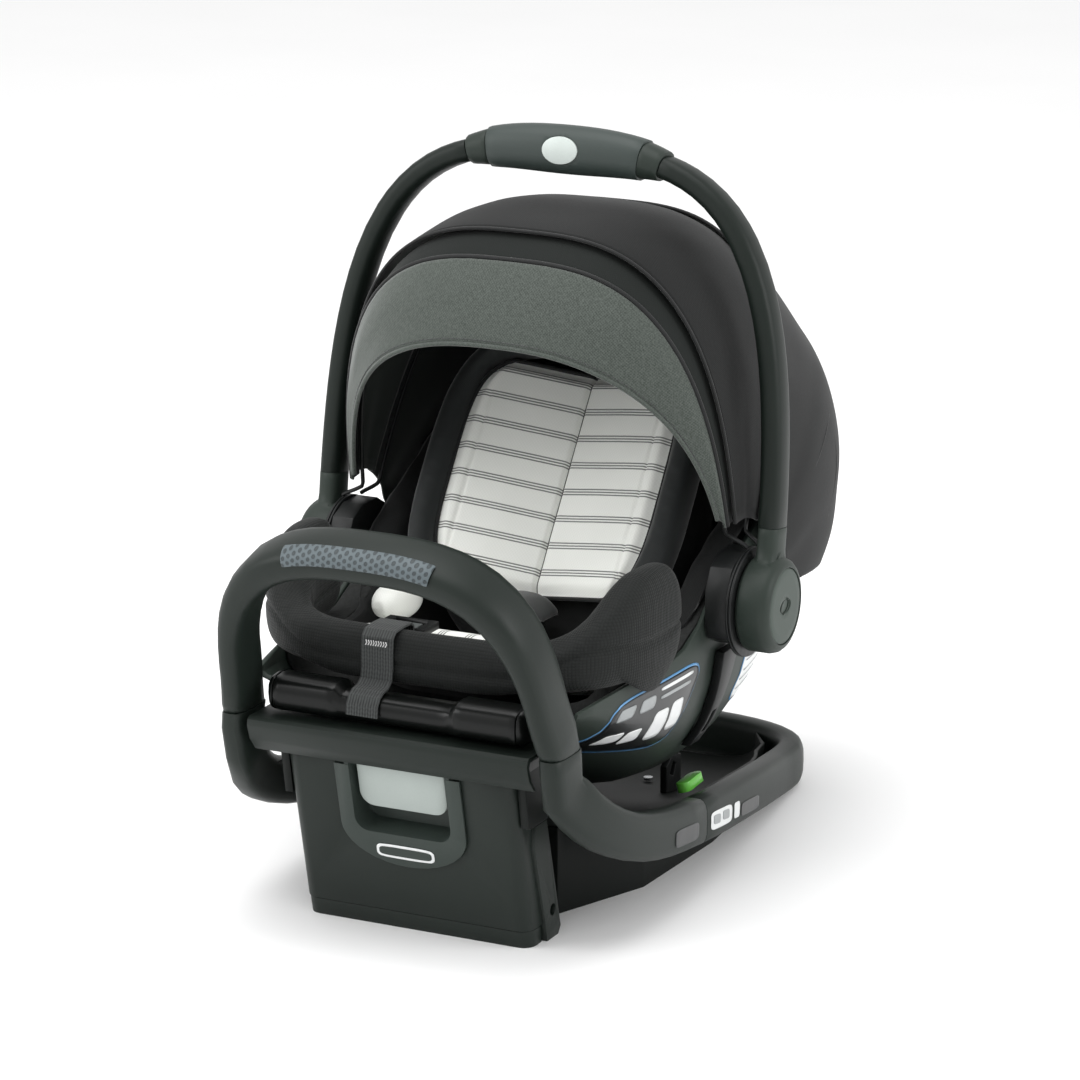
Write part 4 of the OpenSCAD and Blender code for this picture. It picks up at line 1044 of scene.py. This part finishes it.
def make_labels():
    shell = [(0.3, -0.185, 0.198), (0.3, -0.035, 0.2), (0.3, -0.075, 0.13), (0.3, -0.175, 0.146)]
    film("shell_panel_edge", "shell", shell, (-1, 0, 0), finish["blue_film"], "carrier", 0.0003)
    inner = [(0.3, -0.183, 0.196), (0.3, -0.037, 0.198), (0.3, -0.0765, 0.132), (0.3, -0.1735, 0.148)]
    film("shell_panel", "shell", inner, (-1, 0, 0), finish["dark_film"], "carrier", 0.0006)
    for k, (y0, y1, z0, z1, kind) in enumerate((
        (-0.172, -0.150, 0.178, 0.19, "grey_film"), (-0.142, -0.120, 0.178, 0.19, "grey_film"),
        (-0.112, -0.056, 0.19, 0.193, "pale_film"), (-0.112, -0.060, 0.183, 0.186, "grey_film"),
        (-0.165, -0.146, 0.154, 0.164, "pale_film"), (-0.142, -0.124, 0.150, 0.162, "pale_film"),
        (-0.114, -0.092, 0.146, 0.172, "pale_film"), (-0.088, -0.068, 0.148, 0.174, "pale_film"),
    )):
        side_film("shell_panel_block_%d" % k, "shell", y0, y1, z0, z1, finish[kind], "carrier",
            0.0009, steps=8)
    side_film("rear_panel_edge", "shell", 0.072, 0.138, 0.122, 0.2, finish["blue_film"], "carrier", 0.0003)
    side_film("rear_panel", "shell", 0.0735, 0.1365, 0.1235, 0.1985, finish["pale_film"], "carrier", 0.0006)
    for k in range(7):
        z = 0.188 - 0.009 * k
        side_film("rear_panel_line_%d" % k, "shell", 0.08, 0.128, z, z + 0.0014,
            finish["grey_film"], "carrier", 0.0009, steps=6)
    side_film("rim_film_dark", "base_rim_front", -0.118, -0.068, 0.06, 0.075, finish["dark_film"],
        "base", slope=0.007)
    side_film("rim_film_pale", "base_rim_rear", -0.040, 0.012, 0.050, 0.066, finish["pale_film"],
        "base", slope=0.008)
    side_film("rim_film_block", "base_rim_rear", -0.034, -0.018, 0.054, 0.062, finish["grey_film"],
        "base", 0.0008, 0.003)
    side_film("rim_film_block_b", "base_rim_rear", -0.012, 0.004, 0.051, 0.059,
        finish["grey_film"], "base", 0.0008, 0.003)
    side_film("rim_film_small", "base_rim_rear", 0.018, 0.032, 0.042, 0.056, finish["pale_film"],
        "base", slope=0.002)
    side_film("rim_film_long", "base_rim_rear", 0.036, 0.086, 0.038, 0.050, finish["dark_film"],
        "base", slope=0.008)


def make_plates():
    plate_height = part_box("foot_bezel")[0].z + 0.013
    z = plate_height
    plate = [(-0.026, -0.4, z + 0.006), (0.026, -0.4, z + 0.006), (0.026, -0.4, z - 0.006),
        (-0.026, -0.4, z - 0.006)]
    film("bezel_plate", "foot_bezel", plate, (0, 1, 0), finish["pale_film"], "foot", 0.0006, 24, 4.0)
    inner = [(-0.0235, -0.4, z + 0.0038), (0.0235, -0.4, z + 0.0038), (0.0235, -0.4, z - 0.0038),
        (-0.0235, -0.4, z - 0.0038)]
    film("bezel_plate_face", "foot_bezel", inner, (0, 1, 0), finish["bezel"], "foot", 0.001, 24, 4.0)
    tree = tree_of(nodes["hub_caps"])
    for side in (-1, 1):
        ring = []
        for k in range(48):
            a, b = rounded(0.0085, 0.005, 2.0, 360 * k / 48)
            spot = Vector((side * 0.4, PIVOT_Y + a * 0.9 - b * 0.35, PIVOT_Z + b + a * 0.35))
            ring += laid_on(tree, [spot], Vector((-side, 0, 0)), 0.0002)
        lines("cap_oval_%s" % ("left" if side > 0 else "right"), [ring], 0.0008, finish["hub"],
            "handle", closed=True)
    tacks = [[Vector((x, -0.2484, 0.2405)), Vector((x + 0.001, -0.2479, 0.2425)), Vector((x,
        -0.2476, 0.2445))]
             for x in (-0.037 + 0.0022 * k for k in range(9))]
    lines("strap_tacks", tacks, 0.0005, finish["white_thread"], "carrier", sides=1)


# ------------------------------------------------------------------ stage


def make_stage():
    floor = new_piece("floor", [(-6, -5, 0), (6, -5, 0), (6, 7, 0), (-6, 7, 0)], [(0, 1, 2, 3)],
        pale_floor())
    world = bpy.data.worlds.new("studio")
    scene.world = world
    world.use_nodes = True
    world.node_tree.nodes["Background"].inputs["Color"].default_value = (1, 1, 1, 1)
    world.node_tree.nodes["Background"].inputs["Strength"].default_value = 0.9
    lamp("overhead_softbox", (-0.4, -0.5, 3.2), (0, 0, 0.2), 2.6, 60)
    lamp("left_softbox", (-2.6, -2.2, 1.9), (0, 0, 0.35), 1.8, 42)
    lamp("right_strip", (2.9, 0.4, 1.5), (0, 0, 0.35), 1.4, 30)


def pale_floor():
    f = Finish("floor_pale", Specular_IOR_Level=0.1)
    f.feed("Base Color", f.blended(f.noise(3.0), tone(246, 246, 246), tone(250, 250, 250)))
    f.feed("Roughness", 0.85 + f.noise(5.0) * 0.1)
    return f.material


def lamp(name, at, aim, size, power):
    light = bpy.data.lights.new(name, "AREA")
    light.shape, light.size, light.energy = "SQUARE", size, power
    made = bpy.data.objects.new(name, light)
    made.location = at
    made.rotation_mode = "QUATERNION"
    made.rotation_quaternion = (Vector(aim) - Vector(at)).to_track_quat("-Z", "Y")
    scene.collection.objects.link(made)


def make_camera():
    lens = bpy.data.cameras.new("camera")
    lens.lens, lens.sensor_width = 155.7, 36
    made = bpy.data.objects.new("camera", lens)
    scene.collection.objects.link(made)
    aim = Vector((0, -0.00835, 0.2703))
    turn, rise, away = math.radians(26), math.radians(15.8), 3.891
    back = Vector((math.sin(turn) * math.cos(rise), -math.cos(turn) * math.cos(rise), math.sin(rise)))
    made.location = aim + back * away
    made.rotation_mode = "QUATERNION"
    made.rotation_quaternion = (-back).to_track_quat("-Z", "Y")
    lens.clip_start, lens.clip_end = 0.1, 50
    scene.camera = made


make_camera()
make_stage()
dress_moulded_parts()
make_canopy()
make_bolster()
make_seat_cushion()
make_back_insert()
make_head_roll()
make_back_cushion()
make_thigh_pads()
make_crotch_pad()
make_seat_cover()
make_webbing()
make_labels()
make_plates()
scene.view_settings.view_transform = "Standard"
